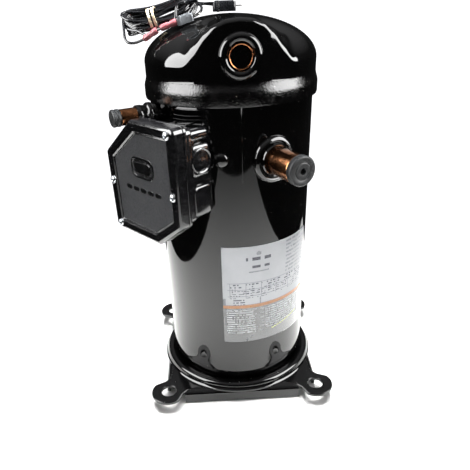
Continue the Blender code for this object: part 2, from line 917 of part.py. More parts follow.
def rotor():
    """The rotor core, its cast cage and the two counterweights."""
    bars = []
    for bar in range(BARS):
        turn = math.tau * bar / BARS
        corners = ((35, -2.2), (40.5, -2.2), (40.5, 2.2), (35, 2.2))
        bars.append(
            [
                (
                    (x * math.cos(turn) - y * math.sin(turn)) * MM,
                    (x * math.sin(turn) + y * math.cos(turn)) * MM,
                )
                for x, y in corners
            ]
        )
    bore = circle(SHAFT_SEAT + GAP, 24)
    core = outline(
        "rotor_core",
        [circle(ROTOR_RADIUS, 40), bore[::-1], *[bar[::-1] for bar in bars]],
        STACK_LOW,
        STACK_HIGH,
        "lamination",
    )
    cage = ring("rotor_cage", 30 * MM, 43 * MM, STACK_HIGH + GAP, 204 * MM, "cast_aluminium", 24)
    low_ring = ring("low_ring", 30 * MM, 43 * MM, 96 * MM, STACK_LOW - GAP, None, 24)
    rods = [
        block(
            "cage_bar",
            (35.3 * MM, -1.9 * MM, STACK_LOW - 3 * MM),
            (40.2 * MM, 1.9 * MM, STACK_HIGH + 3 * MM),
            None,
            Matrix.Rotation(math.tau * bar / BARS, 4, "Z"),
        )
        for bar in range(BARS)
    ]
    join(cage, *rods, low_ring)
    half = math.pi
    upper = circle(38 * MM, 20, (0, 0), half / 2, half) + circle(
        SHAFT_SEAT + GAP, 12, (0, 0), half * 1.5, -half
    )
    lower = circle(34 * MM, 20, (0, 0), -half / 2, half) + circle(
        SHAFT_SEAT + GAP, 12, (0, 0), half / 2, -half
    )
    upper_weight = outline("upper_counterweight", [upper], 204.3 * MM, 222 * MM, "cast_iron")
    lower_weight = outline("lower_counterweight", [lower], 87 * MM, 95.7 * MM, "cast_iron")
    return [core, cage, upper_weight, lower_weight]


def crankshaft():
    """The shaft with its eccentric pin and its offset oil gallery."""
    shaft = turned(
        "crankshaft",
        [
            (0, 285 * MM),
            (16 * MM, 285 * MM),
            (16 * MM, 232 * MM),
            (SHAFT_SEAT, 231 * MM),
            (SHAFT_SEAT, 84.3 * MM),
            (9 * MM, 84.3 * MM),
            (9 * MM, 44 * MM),
            (0, 44 * MM),
        ],
        "bare_steel",
        28,
        closed=False,
    )
    pin = disc("crank_pin", 11 * MM, 280 * MM, 304 * MM, None, 24, at=(ORBIT, 0))
    gallery = disc("oil_gallery", 2.6 * MM, 40 * MM, 310 * MM, None, 12, at=(ORBIT / 2, 0))
    join(shaft, pin)
    cut(shaft, gallery)
    gallery_plug = disc(
        "gallery_plug", 2.2 * MM, 297 * MM, 303 * MM, "bearing_bronze", 12, at=(ORBIT / 2, 0)
    )
    pickup = turned(
        "oil_pickup",
        [
            (10.6 * MM, 20 * MM),
            (8.6 * MM, 20 * MM),
            (8.6 * MM, 22 * MM),
            (9.3 * MM, 30 * MM),
            (9.3 * MM, 49.5 * MM),
            (10.6 * MM, 49.5 * MM),
            (10.6 * MM, 30 * MM),
        ],
        "bare_steel",
        24,
    )
    return [shaft, pickup], gallery_plug


def lower_bearing():
    """The three-armed lower bracket and its bush."""
    windows = []
    for arm in range(3):
        start = math.radians(120 * arm + 14)
        span = math.radians(92)
        outer = circle(76 * MM, 9, (0, 0), start, span)
        inner = circle(24 * MM, 4, (0, 0), start + span - 0.1, -(span - 0.2))
        windows.append((outer + inner)[::-1])
    bracket = outline(
        "lower_bracket",
        [circle(TUBE_BORE - GAP, ROUND), circle(12.3 * MM, 24)[::-1], *windows],
        60 * MM,
        67 * MM,
        "cast_iron",
    )
    hub = ring("lower_hub", 12.3 * MM, 18 * MM, 54 * MM, 82 * MM, None, 24)
    join(bracket, hub)
    ring("lower_bush", 9.3 * MM, 12 * MM, 54.5 * MM, 82 * MM, "bearing_bronze", 24)


def keyway(length, width, at, low, high):
    """A cutter for an Oldham keyway, long in X where at is on X and in Y where it is on Y."""
    x, y = at
    reach = (length / 2, width / 2) if x else (width / 2, length / 2)
    return block(
        "keyway",
        (x - reach[0], y - reach[1], low),
        (x + reach[0], y + reach[1], high),
        None,
    )


def main_housing():
    """The main bearing housing: hub, thrust face, Oldham recess, keyways and outer rim."""
    housing = turned(
        "main_housing",
        [
            (18.4 * MM, 238 * MM),
            (18.4 * MM, 279 * MM),
            (28 * MM, 279 * MM),
            (28 * MM, 305.7 * MM),
            (50 * MM, 305.7 * MM),
            (50 * MM, 296 * MM),
            (76 * MM, 296 * MM),
            (76 * MM, 329.7 * MM),
            (TUBE_BORE - GAP, 329.7 * MM),
            (TUBE_BORE - GAP, 298 * MM),
            (78 * MM, 289 * MM),
            (40 * MM, 284 * MM),
            (29 * MM, 238 * MM),
        ],
        "cast_iron",
        ROUND,
    )
    for side in (-1, 1):
        cut(housing, keyway(21.6 * MM, 8.5 * MM, (side * 61 * MM, 0), 291 * MM, 300 * MM))
    window = radial(SUCTION[0], 0)
    cut(housing, block("suction_window", (-13 * MM, 300 * MM, 0.07), (13 * MM, 325 * MM, 0.09), None, window))
    for angle in bolt_angles():
        spot = (80.4 * MM * math.cos(angle), 80.4 * MM * math.sin(angle))
        cut(housing, disc("bolt_thread", 2.8 * MM, 312 * MM, 335 * MM, None, 12, at=spot))
    ring("main_bush", 16.3 * MM, 18.1 * MM, 238.5 * MM, 279 * MM, "bearing_bronze", 28)


def bolt_angles():
    """Where the three scroll bolts stand, in radians."""
    return [math.radians(30 + 120 * i) for i in range(3)]


def wrap_outline(phase):
    """One scroll wrap seen from above: an involute wall of even thickness."""
    shift = WRAP_WALL / (2 * BASE_CIRCLE)
    low, high = WRAP_START**1.5, WRAP_END**1.5

    def wall(side):
        points = []
        for i in range(WRAP_SIDES + 1):
            along = (low + (high - low) * i / WRAP_SIDES) ** (2 / 3)
            base = along + phase
            points.append(
                (
                    BASE_CIRCLE * (math.cos(base) + (along + side * shift) * math.sin(base)),
                    BASE_CIRCLE * (math.sin(base) - (along + side * shift) * math.cos(base)),
                )
            )
        return points

    return wall(1) + wall(-1)[::-1]


def scrolls():
    """The orbiting and the fixed scroll, with the orbiting scroll's bush and drive bush."""
    here = Matrix.Translation((ORBIT, 0, 0))
    orbiting = turned(
        "orbiting_scroll",
        [
            (0, SCROLL_FLOOR),
            (70 * MM, SCROLL_FLOOR),
            (70 * MM, 306 * MM),
            (21 * MM, 306 * MM),
            (21 * MM, 286.5 * MM),
            (16.6 * MM, 286.5 * MM),
            (16.6 * MM, 306.5 * MM),
            (0, 306.5 * MM),
        ],
        "cast_iron",
        32,
        here,
        closed=False,
    )
    wrap = outline(
        "orbiting_wrap", [wrap_outline(math.pi)], SCROLL_FLOOR - 1 * MM, SCROLL_CEILING - 0.3 * MM, None, here
    )
    join(orbiting, wrap)
    for side in (-1, 1):
        slot = keyway(24 * MM, 8.5 * MM, (0, side * 62.5 * MM), 300 * MM, 311.3 * MM)
        slot.matrix_world = here
        cut(orbiting, slot)
    bush = ring("orbiting_bush", 14.5 * MM, 16.3 * MM, 287 * MM, 305.5 * MM, "bearing_bronze", 28, here)
    drive = ring("drive_bush", 11.3 * MM, 14.2 * MM, 287 * MM, 303.5 * MM, "bare_steel", 28, here)
    fixed = turned(
        "fixed_scroll",
        [
            (6 * MM, SCROLL_CEILING),
            (6 * MM, 364 * MM),
            (16 * MM, 364 * MM),
            (16 * MM, 357 * MM),
            (40 * MM, 357 * MM),
            (40 * MM, 364 * MM),
            (46 * MM, 364 * MM),
            (46 * MM, 357 * MM),
            (80 * MM, 357 * MM),
            (80 * MM, 338 * MM),
            (TUBE_BORE - 0.6 * MM, 338 * MM),
            (TUBE_BORE - 0.6 * MM, 330 * MM),
            (75.5 * MM, 330 * MM),
            (75.5 * MM, SCROLL_FLOOR + GAP),
            (72.2 * MM, SCROLL_FLOOR + GAP),
            (72.2 * MM, SCROLL_CEILING),
        ],
        "cast_iron",
        32,
    )
    join(
        fixed,
        outline("fixed_wrap", [wrap_outline(0)], SCROLL_FLOOR + GAP, SCROLL_CEILING + 1 * MM, None),
    )
    inlet_low = (-12 * MM, 316 * MM, 65 * MM)
    inlet_high = (12 * MM, 329 * MM, 90 * MM)
    cut(fixed, block("scroll_inlet", inlet_low, inlet_high, None, radial(SUCTION[0], 0)))
    for number, angle in enumerate(bolt_angles(), 1):
        spot = (80.4 * MM * math.cos(angle), 80.4 * MM * math.sin(angle))
        cut(fixed, disc("bolt_hole", 3.3 * MM, 329 * MM, 345 * MM, None, 12, at=spot))
        cut(fixed, disc("head_clearance", 5.3 * MM, 338 * MM, 360 * MM, None, 16, at=spot))
        turned(
            f"scroll_bolt_{number}",
            [
                (0, 344 * MM),
                (4.5 * MM, 344 * MM),
                (4.5 * MM, 339.2 * MM),
                (2.5 * MM, 339.2 * MM),
                (2.5 * MM, 314 * MM),
                (0, 314 * MM),
            ],
            "zinc_steel",
            12,
            Matrix.Translation((*spot, 0)),
            closed=False,
        )
    return orbiting, bush, drive, fixed


def oldham_ring():
    """The Oldham coupling ring: keys along X below, and along Y above."""
    here = Matrix.Translation((ORBIT, 0, 0))
    part = ring("oldham_ring", 56 * MM, 66 * MM, 297 * MM, 304 * MM, "cast_aluminium", 32, here)
    for side in (-1, 1):
        low_key = block(
            "low_key",
            (side * 61 * MM - 4.8 * MM, -4 * MM, 291.6 * MM),
            (side * 61 * MM + 4.8 * MM, 4 * MM, 298 * MM),
            None,
            here,
        )
        high_key = block(
            "high_key",
            (-4 * MM, side * 61 * MM - 4.8 * MM, 303 * MM),
            (4 * MM, side * 61 * MM + 4.8 * MM, 310.8 * MM),
            None,
            here,
        )
        join(part, low_key, high_key)
    return part


def discharge_side():
    """The floating seal, the muffler plate and the valves on it."""
    seal = ring("floating_seal", 16.6 * MM, 39.4 * MM, 358.6 * MM, 365.5 * MM, "cast_aluminium", 28)
    lip = ring("seal_lip", 22 * MM, 25 * MM, 365 * MM, 370.4 * MM, None, 28)
    join(seal, lip)
    plate = turned(
        "muffler_plate",
        [
            (9 * MM, 372 * MM),
            (9 * MM, 376 * MM),
            (58 * MM, 376 * MM),
            (70 * MM, 383.4 * MM),
            (TUBE_RADIUS, 383.4 * MM),
            (TUBE_RADIUS, TUBE_HIGH + GAP),
            (72 * MM, TUBE_HIGH + GAP),
            (60 * MM, 372 * MM),
        ],
        "bare_steel",
        ROUND,
    )
    relief = (-44 * MM, 20 * MM)
    cut(plate, disc("relief_seat", 6.3 * MM, 0.36, 0.39, None, 20, at=relief))
    turned(
        "relief_valve",
        [
            (2 * MM, 366 * MM),
            (2 * MM, 389 * MM),
            (8.5 * MM, 389 * MM),
            (8.5 * MM, 376.3 * MM),
            (6 * MM, 376.3 * MM),
            (6 * MM, 366 * MM),
        ],
        "bearing_bronze",
        20,
        Matrix.Translation((*relief, 0)),
    )
    disc_part = disc("check_valve_disc", 12 * MM, 376.4 * MM, 378.4 * MM, "bare_steel", 28)
    guard = turned(
        "valve_guard",
        [
            (4 * MM, 387 * MM),
            (4 * MM, 389 * MM),
            (17 * MM, 389 * MM),
            (17 * MM, 378 * MM),
            (20 * MM, 378 * MM),
            (20 * MM, 376.3 * MM),
            (14 * MM, 376.3 * MM),
            (14 * MM, 387 * MM),
        ],
        "bare_steel",
        20,
    )
    for turn in (0, 90):
        window = block(
            "guard_window",
            (-25 * MM, -4.5 * MM, 379 * MM),
            (25 * MM, 4.5 * MM, 385.5 * MM),
            None,
            Matrix.Rotation(math.radians(turn), 4, "Z"),
        )
        cut(guard, window)
    return seal, disc_part


def spline_points(route, spacing):
    """Evenly spaced points on a smooth curve through the route."""
    knots = [Vector(point) * MM for point in route]
    fine = []
    for i in range(len(knots) - 1):
        before = knots[max(i - 1, 0)]
        first, last = knots[i], knots[i + 1]
        after = knots[min(i + 2, len(knots) - 1)]
        for step in range(16):
            t = step / 16
            fine.append(
                0.5
                * (
                    2 * first
                    + (last - before) * t
                    + (2 * before - 5 * first + 4 * last - after) * t**2
                    + (3 * first - before - 3 * last + after) * t**3
                )
            )
    fine.append(knots[-1])
    kept = [fine[0]]
    for point in fine[1:]:
        if (point - kept[-1]).length >= spacing:
            kept.append(point)
    return kept


def lead_tail(name, route, diameter):
    """A free stretch of lead, as a tube along a smooth route."""
    points = spline_points(route, 2.2 * diameter)
    line = bpy.data.curves.new(name, "CURVE")
    line.dimensions = "3D"
    line.bevel_depth = diameter / 2
    line.bevel_resolution = 2
    line.use_fill_caps = True
    spline = line.splines.new("POLY")
    spline.points.add(len(points) - 1)
    for knot, point in zip(spline.points, points):
        knot.co = (*point, 1)
    line.materials.append(finish("lead_jacket"))
    part = bpy.data.objects.new(name, line)
    PARTS.objects.link(part)


def harness():
    """The bundle of leads that lies on the cap, with its band, plug and crimped ends."""
    lying = Matrix.Translation(HANK_MIDDLE) @ Matrix.Rotation(HANK_TILT, 4, "Y")
    half_width = HANK_WIDTH / 2
    reach = HANK_LENGTH / 2 - half_width
    end = circle(half_width, 12, (reach, 0), -math.pi / 2, math.pi)
    track = end + [(-x, -y) for x, y in end]
    hank = outline("lead_hank", [track], -HANK_THICK / 2, HANK_THICK / 2, "lead_jacket", lying)
    soften(hank.data, 6 * MM)
    band_width = 9 * MM
    inner = rounded(stadium(half_width + GAP, HANK_THICK / 2 + GAP), 4 * MM, 3)
    outer = rounded(stadium(half_width + 1.5 * MM, HANK_THICK / 2 + 1.5 * MM), 5 * MM, 3)
    upright = Matrix(((0, 0, 1, 0), (1, 0, 0, 0), (0, 1, 0, 0), (0, 0, 0, 1)))
    at_band = lying @ Matrix.Translation((-9 * MM, 0, 0)) @ upright
    outline("rubber_band", [outer, inner[::-1]], -band_width / 2, band_width / 2, "band_rubber", at_band)
    plug_part = block(
        "lead_plug",
        (-13 * MM, -9 * MM, -5.5 * MM),
        (13 * MM, 9 * MM, 5.5 * MM),
        "clear_nylon",
        Matrix.Translation(PLUG_MIDDLE),
    )
    bevel = plug_part.modifiers.new("Edges", "BEVEL")
    bevel.width = 2 * MM
    bevel.segments = 2
    lead_tail("lead_tail", LEAD_ROUTE, LEAD_DIAMETER)
    flag_frame = lying @ Matrix.Translation((13 * MM, -half_width - 5 * MM, -1 * MM))
    flag_low = (0, -4 * MM, -4.5 * MM)
    flag_high = (19 * MM, 4 * MM, 4.5 * MM)
    flag = block("flag_terminal", flag_low, flag_high, "clear_nylon", flag_frame)
    bevel = flag.modifiers.new("Edges", "BEVEL")
    bevel.width = 1.5 * MM
    bevel.segments = 2
    barrel = flag_frame @ Matrix.Rotation(math.radians(-90), 4, "Y")
    disc("crimp_sleeve", 3 * MM, GAP, 17 * MM, "sleeve_nylon", 16, barrel)


def soften(mesh, width):
    """Rounds the edges of an extruded outline."""
    shape = bmesh.new()
    shape.from_mesh(mesh)
    bmesh.ops.dissolve_limit(shape, angle_limit=0.01, verts=shape.verts, edges=shape.edges)
    sharp = [edge for edge in shape.edges if edge.calc_face_angle() > math.radians(60)]
    bmesh.ops.bevel(
        shape,
        geom=sharp,
        offset=width,
        segments=3,
        profile=0.5,
        affect="EDGES",
    )
    shape.to_mesh(mesh)
    shape.free()


def stadium(half_width, half_height):
    """The corners of a flat rectangle, anticlockwise."""
    return [
        (-half_width, -half_height),
        (half_width, -half_height),
        (half_width, half_height),
        (-half_width, half_height),
    ]


def drive_train():
    """The turning pieces, parented to the joint axes that they move about."""
    crank_axis = axis("crank_axis", (0, 0, 0))
    shaft_pieces, gallery_plug = crankshaft()
    ride(crank_axis, *shaft_pieces, *rotor())
    orbiting, bush, drive, fixed = scrolls()
    ride(crank_axis, drive)
    ride(axis("orbit_axis", (ORBIT, 0, 0.3), crank_axis), orbiting, bush)
    gallery_axis = axis("gallery_axis", (ORBIT / 2, 0, 0.3), crank_axis)
    ride(gallery_axis, gallery_plug)
    ride(axis("oldham_axis", (ORBIT, 0, 0.3), gallery_axis), oldham_ring())
    ride(axis("fixed_scroll_axis", (0, 0, SCROLL_CEILING)), fixed)
    seal, valve = discharge_side()
    ride(axis("seal_axis", (0, 0, 0.36)), seal)
    ride(axis("valve_axis", (0, 0, 0.3764)), valve)


def main():
    """Builds every piece."""
    shell_tube()
    top_cap()
    bottom_cup()
    base_plate()
    plug_weld()
    fittings()
    terminal_box()
    terminals()
    nameplate()
    stator()
    lower_bearing()
    main_housing()
    drive_train()
    harness()


main()
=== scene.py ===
"""A hermetic scroll compressor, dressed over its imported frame.

Sizes are in millimetres and turn to metres where a mesh is made. The shell's axis is Z, the floor
is z = 0 and the front is -Y.
"""

from __future__ import annotations

import json
import logging
import math
import random
from dataclasses import dataclass
from enum import Enum

import bpy
from mathutils import Matrix, Vector

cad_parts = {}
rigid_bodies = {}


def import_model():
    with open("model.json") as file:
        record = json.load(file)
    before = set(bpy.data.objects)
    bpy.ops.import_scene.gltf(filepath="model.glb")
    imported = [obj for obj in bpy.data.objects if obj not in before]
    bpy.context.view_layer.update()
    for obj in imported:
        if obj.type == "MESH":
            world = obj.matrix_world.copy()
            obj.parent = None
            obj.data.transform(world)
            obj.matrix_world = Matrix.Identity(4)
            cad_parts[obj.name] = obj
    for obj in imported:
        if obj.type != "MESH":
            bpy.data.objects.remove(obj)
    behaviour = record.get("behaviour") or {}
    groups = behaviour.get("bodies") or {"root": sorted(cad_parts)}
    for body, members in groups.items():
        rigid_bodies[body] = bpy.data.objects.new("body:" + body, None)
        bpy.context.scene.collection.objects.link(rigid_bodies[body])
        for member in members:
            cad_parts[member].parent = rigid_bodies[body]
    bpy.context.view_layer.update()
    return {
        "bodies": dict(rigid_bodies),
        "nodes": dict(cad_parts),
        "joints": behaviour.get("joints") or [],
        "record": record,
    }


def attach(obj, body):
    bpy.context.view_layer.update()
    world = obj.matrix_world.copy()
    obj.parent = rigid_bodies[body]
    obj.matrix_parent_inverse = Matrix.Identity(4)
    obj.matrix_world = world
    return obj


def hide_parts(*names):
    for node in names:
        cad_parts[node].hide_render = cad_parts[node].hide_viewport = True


LOG = logging.getLogger("compressor")
MM = 0.001


class Body(Enum):
    """The bodies that pieces ride on."""

    CASING = "casing"
    COVER = "cover"
    DISCHARGE = "discharge_stopper"
    SUCTION = "suction_stopper"
    ACCESS = "access_stopper"


# Finishes


def linear(colour: str) -> tuple[float, float, float, float]:
    """Turns an sRGB hex colour to linear.

    Args:
        colour: The colour as #rrggbb.

    Returns:
        Its linear red, green and blue, and an alpha of 1.
    """
    parts = [int(colour[start : start + 2], 16) / 255 for start in (1, 3, 5)]
    red, green, blue = (c / 12.92 if c <= 0.04045 else ((c + 0.055) / 1.055) ** 2.4 for c in parts)
    return (red, green, blue, 1.0)


def add(tree: bpy.types.NodeTree, kind: str, settings: dict, links: dict | None = None) -> bpy.types.Node:
    """Adds a node.

    Args:
        tree: The node tree it goes into.
        kind: The node's type name.
        settings: Values by input name, or by property name where no input has that name.
        links: Output sockets by the name of the input they feed.

    Returns:
        The new node.
    """
    node = tree.nodes.new(kind)
    for key, value in settings.items():
        if isinstance(key, int) or key in node.inputs:
            node.inputs[key].default_value = value
        else:
            setattr(node, key, value)
    for key, source in (links or {}).items():
        tree.links.new(source, node.inputs[key])
    return node


@dataclass(frozen=True)
class Finish:
    """A surface: its two tones, shine, grain and specks. Lengths are in millimetres."""

    name: str
    colour: str
    tone: str
    roughness: float
    spread: float = 0.08
    metallic: float = 0.0
    ior: float = 1.5
    coat: float = 0.0
    mottle: float = 12.0
    stretch: tuple[float, float, float] = (1.0, 1.0, 1.0)
    grain: float = 1.0
    depth: float = 0.02
    specks: float = 0.0
    speck_colour: str = "#b9b9b4"
    alpha: float = 1.0

    def material(self) -> bpy.types.Material:
        """Builds the finish's material, once.

        Returns:
            The material, which reads each piece's Object coordinates.
        """
        found = bpy.data.materials.get(self.name)
        if found:
            return found
        made = bpy.data.materials.new(self.name)
        made.use_nodes = True
        tree = made.node_tree
        tree.nodes.clear()
        place = add(tree, "ShaderNodeTexCoord", {}).outputs["Object"]
        drawn = add(tree, "ShaderNodeMapping", {"Scale": self.stretch}, {"Vector": place}).outputs[0]
        cloud = add(
            tree,
            "ShaderNodeTexNoise",
            {"Scale": 1000 / self.mottle, "Detail": 4.0, "Roughness": 0.55},
            {"Vector": drawn},
        ).outputs["Fac"]
        tint = add(tree, "ShaderNodeValToRGB", {}, {"Fac": cloud})
        tint.color_ramp.elements[0].position = 0.34
        tint.color_ramp.elements[0].color = linear(self.colour)
        tint.color_ramp.elements[1].position = 0.68
        tint.color_ramp.elements[1].color = linear(self.tone)
        colour = tint.outputs["Color"]
        shine = add(
            tree,
            "ShaderNodeMapRange",
            {
                "From Min": 0.3,
                "From Max": 0.7,
                "To Min": max(0.02, self.roughness - self.spread),
                "To Max": self.roughness + self.spread,
            },
            {"Value": cloud},
        ).outputs["Result"]
        if self.specks:
            cells = add(tree, "ShaderNodeTexVoronoi", {"Scale": 1000 / 4.0}, {"Vector": place})
            near = add(
                tree, "ShaderNodeMath", {"operation": "LESS_THAN", 1: 0.09}, {0: cells.outputs["Distance"]}
            )
            lone = add(tree, "ShaderNodeSeparateColor", {}, {"Color": cells.outputs["Color"]})
            few = add(
                tree, "ShaderNodeMath", {"operation": "LESS_THAN", 1: self.specks}, {0: lone.outputs[0]}
            )
            fleck = add(
                tree,
                "ShaderNodeMath",
                {"operation": "MULTIPLY"},
                {0: near.outputs[0], 1: few.outputs[0]},
            ).outputs[0]
            mixed = add(tree, "ShaderNodeMix", {"data_type": "RGBA"}, {0: fleck, 6: colour})
            mixed.inputs[7].default_value = linear(self.speck_colour)
            colour = mixed.outputs[2]
        grit = add(
            tree,
            "ShaderNodeTexNoise",
            {"Scale": 1000 / self.grain, "Detail": 3.0},
            {"Vector": drawn},
        ).outputs["Fac"]
        relief = add(
            tree,
            "ShaderNodeBump",
            {"Strength": 1.0, "Distance": self.depth * MM},
            {"Height": grit},
        ).outputs["Normal"]
        shader = add(
            tree,
            "ShaderNodeBsdfPrincipled",
            {
                "Metallic": self.metallic,
                "IOR": self.ior,
                "Coat Weight": self.coat,
                "Coat Roughness": 0.02,
                "Coat IOR": 1.7,
                "Alpha": self.alpha,
            },
            {"Base Color": colour, "Roughness": shine, "Normal": relief},
        ).outputs[0]
        add(tree, "ShaderNodeOutputMaterial", {}, {"Surface": shader})
        return made


# Black acrylic enamel sprayed over pressed steel: a deep wet gloss with a faint orange peel
# and a few dust nibs under it.
ENAMEL = Finish(
    "gloss_black_enamel", "#030303", "#060606", 0.04, 0.015, ior=1.6, mottle=40, grain=9, depth=0.012,
    specks=0.03, speck_colour="#6d6c66",
)
# The same enamel where weld spatter and dust sit in it, on the seam under the cap.
SPATTERED = Finish(
    "spattered_enamel", "#030303", "#0b0a0a", 0.12, 0.08, ior=1.6, mottle=6, grain=1.6,
    depth=0.25, specks=0.3, speck_colour="#8d8a82",
)
# Enamelled plate that bolts and handling have rubbed: more specks, duller.
PLATE_ENAMEL = Finish(
    "plate_enamel", "#030303", "#070707", 0.08, 0.05, ior=1.6, mottle=14, grain=5, depth=0.03,
    specks=0.05, speck_colour="#9a9a96",
)
# Moulded black nylon, polished in the tool: glossy with faint flow streaks along the pull.
POLISHED_NYLON = Finish(
    "polished_nylon", "#0a0a0b", "#161618", 0.16, 0.08, ior=1.6, coat=0.5, mottle=7,
    stretch=(1, 1, 4), grain=2.5, depth=0.02,
)
# The same nylon on its spark-eroded panel: a fine matt pebble, drawn about 0.9 mm.
PEBBLED_NYLON = Finish(
    "pebbled_nylon", "#222326", "#48494c", 0.4, 0.06, ior=1.53, mottle=1.5, grain=0.9, depth=0.25
)
# Soft-drawn copper, browned by brazing heat, with drawing lines along the tube.
COPPER = Finish(
    "drawn_copper", "#a4704c", "#5f3c27", 0.2, 0.08, metallic=1.0, mottle=5, grain=0.7, depth=0.02
)
# Moulded EPDM stopper: dull dark grey with a light bloom.
RUBBER = Finish("stopper_rubber", "#0f1011", "#1d1f21", 0.5, 0.1, mottle=6, grain=0.6, depth=0.03)
# Bright zinc on cold-headed steel.
ZINC = Finish("zinc_plated_steel", "#d4d6d8", "#aeb2b6", 0.2, 0.06, metallic=1.0, mottle=3, grain=0.5)
# Sand-cast grey iron, machined here and there.
IRON = Finish(
    "sand_cast_iron", "#4b4d50", "#66686b", 0.45, 0.12, metallic=1.0, mottle=5, grain=0.8, depth=0.08
)
# Ground and turned steel, with fine turning lines round the axis.
STEEL = Finish(
    "turned_steel", "#a7a9ab", "#8b8e91", 0.22, 0.08, metallic=1.0, mottle=6, stretch=(1, 1, 9),
    grain=0.6, depth=0.015,
)
# Stacked electrical steel: 0.5 mm sheets, drawn about 1 mm apart as level lines.
LAMINATION = Finish(
    "stacked_laminations", "#5c6064", "#3a3e42", 0.4, 0.1, metallic=1.0, mottle=6,
    stretch=(0.1, 0.1, 6), grain=6, depth=0.2,
)
# Enamelled magnet wire, 1 mm strands laid round the slots.
WINDING = Finish(
    "enamelled_wire", "#b5622a", "#7d3a14", 0.25, 0.1, metallic=0.85, mottle=4, stretch=(1, 1, 5),
    grain=3.5, depth=0.5,
)
# Die-cast aluminium, as cast.
ALUMINIUM = Finish(
    "die_cast_aluminium", "#b4b7ba", "#94989c", 0.38, 0.1, metallic=1.0, mottle=6, grain=0.9, depth=0.05
)
# Bearing bronze, bored.
BRONZE = Finish("bored_bronze", "#a97c44", "#8a6233", 0.28, 0.08, metallic=1.0, mottle=5, grain=0.7)
# Flexible PVC on stranded wire, glossy.
JACKET = Finish(
    "pvc_jacket", "#08080a", "#101114", 0.16, 0.06, ior=1.54, coat=0.5, mottle=8, grain=2.5, depth=0.03
)
# Natural rubber band, matt and slightly dusty.
BAND = Finish("natural_rubber", "#d9cdb2", "#b9a988", 0.6, 0.08, mottle=3, grain=0.5, depth=0.05)
# Heat-shrunk nylon sleeve, rose coloured.
SLEEVE = Finish("rose_nylon", "#b0666c", "#8f4a50", 0.26, 0.08, mottle=4, grain=1.2, depth=0.04)
# Clear nylon 6: milky grey, seen into.
CLEAR = Finish(
    "clear_nylon_six", "#777b7f", "#9a9ea2", 0.16, 0.05, ior=1.53, mottle=5, grain=2, depth=0.04,
    alpha=0.7,
)
# Black nylon 6 of the lead plug: dark, glossy, thin at its walls.
SMOKED = Finish("smoked_nylon", "#141517", "#26282b", 0.18, 0.06, ior=1.53, mottle=5, grain=2, depth=0.04)
# Tin-plated brass blades and cups.
TIN = Finish("tinned_brass", "#c9c6bd", "#a5a29a", 0.28, 0.08, metallic=1.0, mottle=3, grain=0.5)
# Gloss polyester label stock: white, with the screened inks below.
PAPER = Finish("label_white", "#b6b8bc", "#b0b2b6", 0.2, 0.04, coat=0.3, mottle=20, grain=4, depth=0.01)
GREY_INK = Finish("label_grey_ink", "#7e8085", "#8a8c91", 0.3, 0.05, mottle=2, grain=2, depth=0.01)
DARK_INK = Finish("label_dark_ink", "#4c4d55", "#5c5d65", 0.3, 0.05, mottle=2, grain=2, depth=0.01)
OCHRE_INK = Finish("label_ochre_ink", "#c08a63", "#b07a54", 0.3, 0.05, mottle=4, grain=2, depth=0.01)
LIME_INK = Finish("label_lime_ink", "#c9cf8e", "#b4ba7c", 0.3, 0.05, mottle=4, grain=2, depth=0.01)
SMOKE = Finish(
    "label_smoke", "#34373a", "#3d4043", 0.1, 0.03, ior=1.6, coat=1.0, mottle=30, grain=9, depth=0.01
)
FINE_INK = Finish("label_fine_ink", "#b9bbbd", "#9b9da0", 0.3, 0.05, mottle=2, grain=2, depth=0.01)


@dataclass(frozen=True)
class Floor:
    """The pale floor's finish and size."""

    colour: str = "#ececea"
    left: float = -425
    right: float = 480
    near: float = -1000
    far: float = 340


# Ways of making a piece


def rest() -> None:
    """Goes to object mode with nothing selected."""
    if bpy.context.object and bpy.context.object.mode != "OBJECT":
        bpy.ops.object.mode_set(mode="OBJECT")
    bpy.ops.object.select_all(action="DESELECT")


def radial(angle: float, height: float) -> Matrix:
    """A frame on the shell: X round it to the viewer's right, Y up, Z straight out.

    Args:
        angle: Degrees counter-clockwise from +X.
        height: The frame's height in millimetres.

    Returns:
        The frame's matrix in millimetres.
    """
    turn = math.radians(angle)
    x, z = Vector((-math.sin(turn), math.cos(turn), 0)), Vector((math.cos(turn), math.sin(turn), 0))
    frame = Matrix((x, (0, 0, 1), z)).transposed().to_4x4()
    frame.translation = (0, 0, height)
    return frame


def circle(
    radius: float, steps: int, centre: tuple = (0, 0), start: float = 0.0, turn: float = math.tau
) -> list:
    """Points round a circle or an arc of it.

    Args:
        radius: Its radius.
        steps: The pieces that it is cut into.
        centre: Its middle.
        start: The angle of its first point in radians.
        turn: How far round it goes in radians.

    Returns:
        The points, with both ends of an arc and one of a whole circle.
    """
    count = steps if turn == math.tau else steps + 1
    angles = [start + turn * i / steps for i in range(count)]
    return [(centre[0] + radius * math.cos(a), centre[1] + radius * math.sin(a)) for a in angles]


def rounded(corners: list, radius: float, steps: int = 6) -> list:
    """Rounds each corner of a flat loop.

    Args:
        corners: The loop's corners.
        radius: The corners' radius.
        steps: The pieces in each corner's arc.

    Returns:
        The rounded loop's points.
    """
    points = []
    for index, corner in enumerate(corners):
        here = Vector(corner)
        back = (Vector(corners[index - 1]) - here).normalized()
        ahead = (Vector(corners[(index + 1) % len(corners)]) - here).normalized()
        half = back.angle(ahead) / 2
        reach = radius / math.tan(half)
        middle = here + (back + ahead).normalized() * (radius / math.sin(half))
        first, last = here + back * reach - middle, here + ahead * reach - middle
        turn = first.angle_signed(last)
        for step in range(steps + 1):
            spoke = first.copy()
            spoke.rotate(Matrix.Rotation(-turn * step / steps, 2))
            points.append(tuple(middle + spoke))
    return points


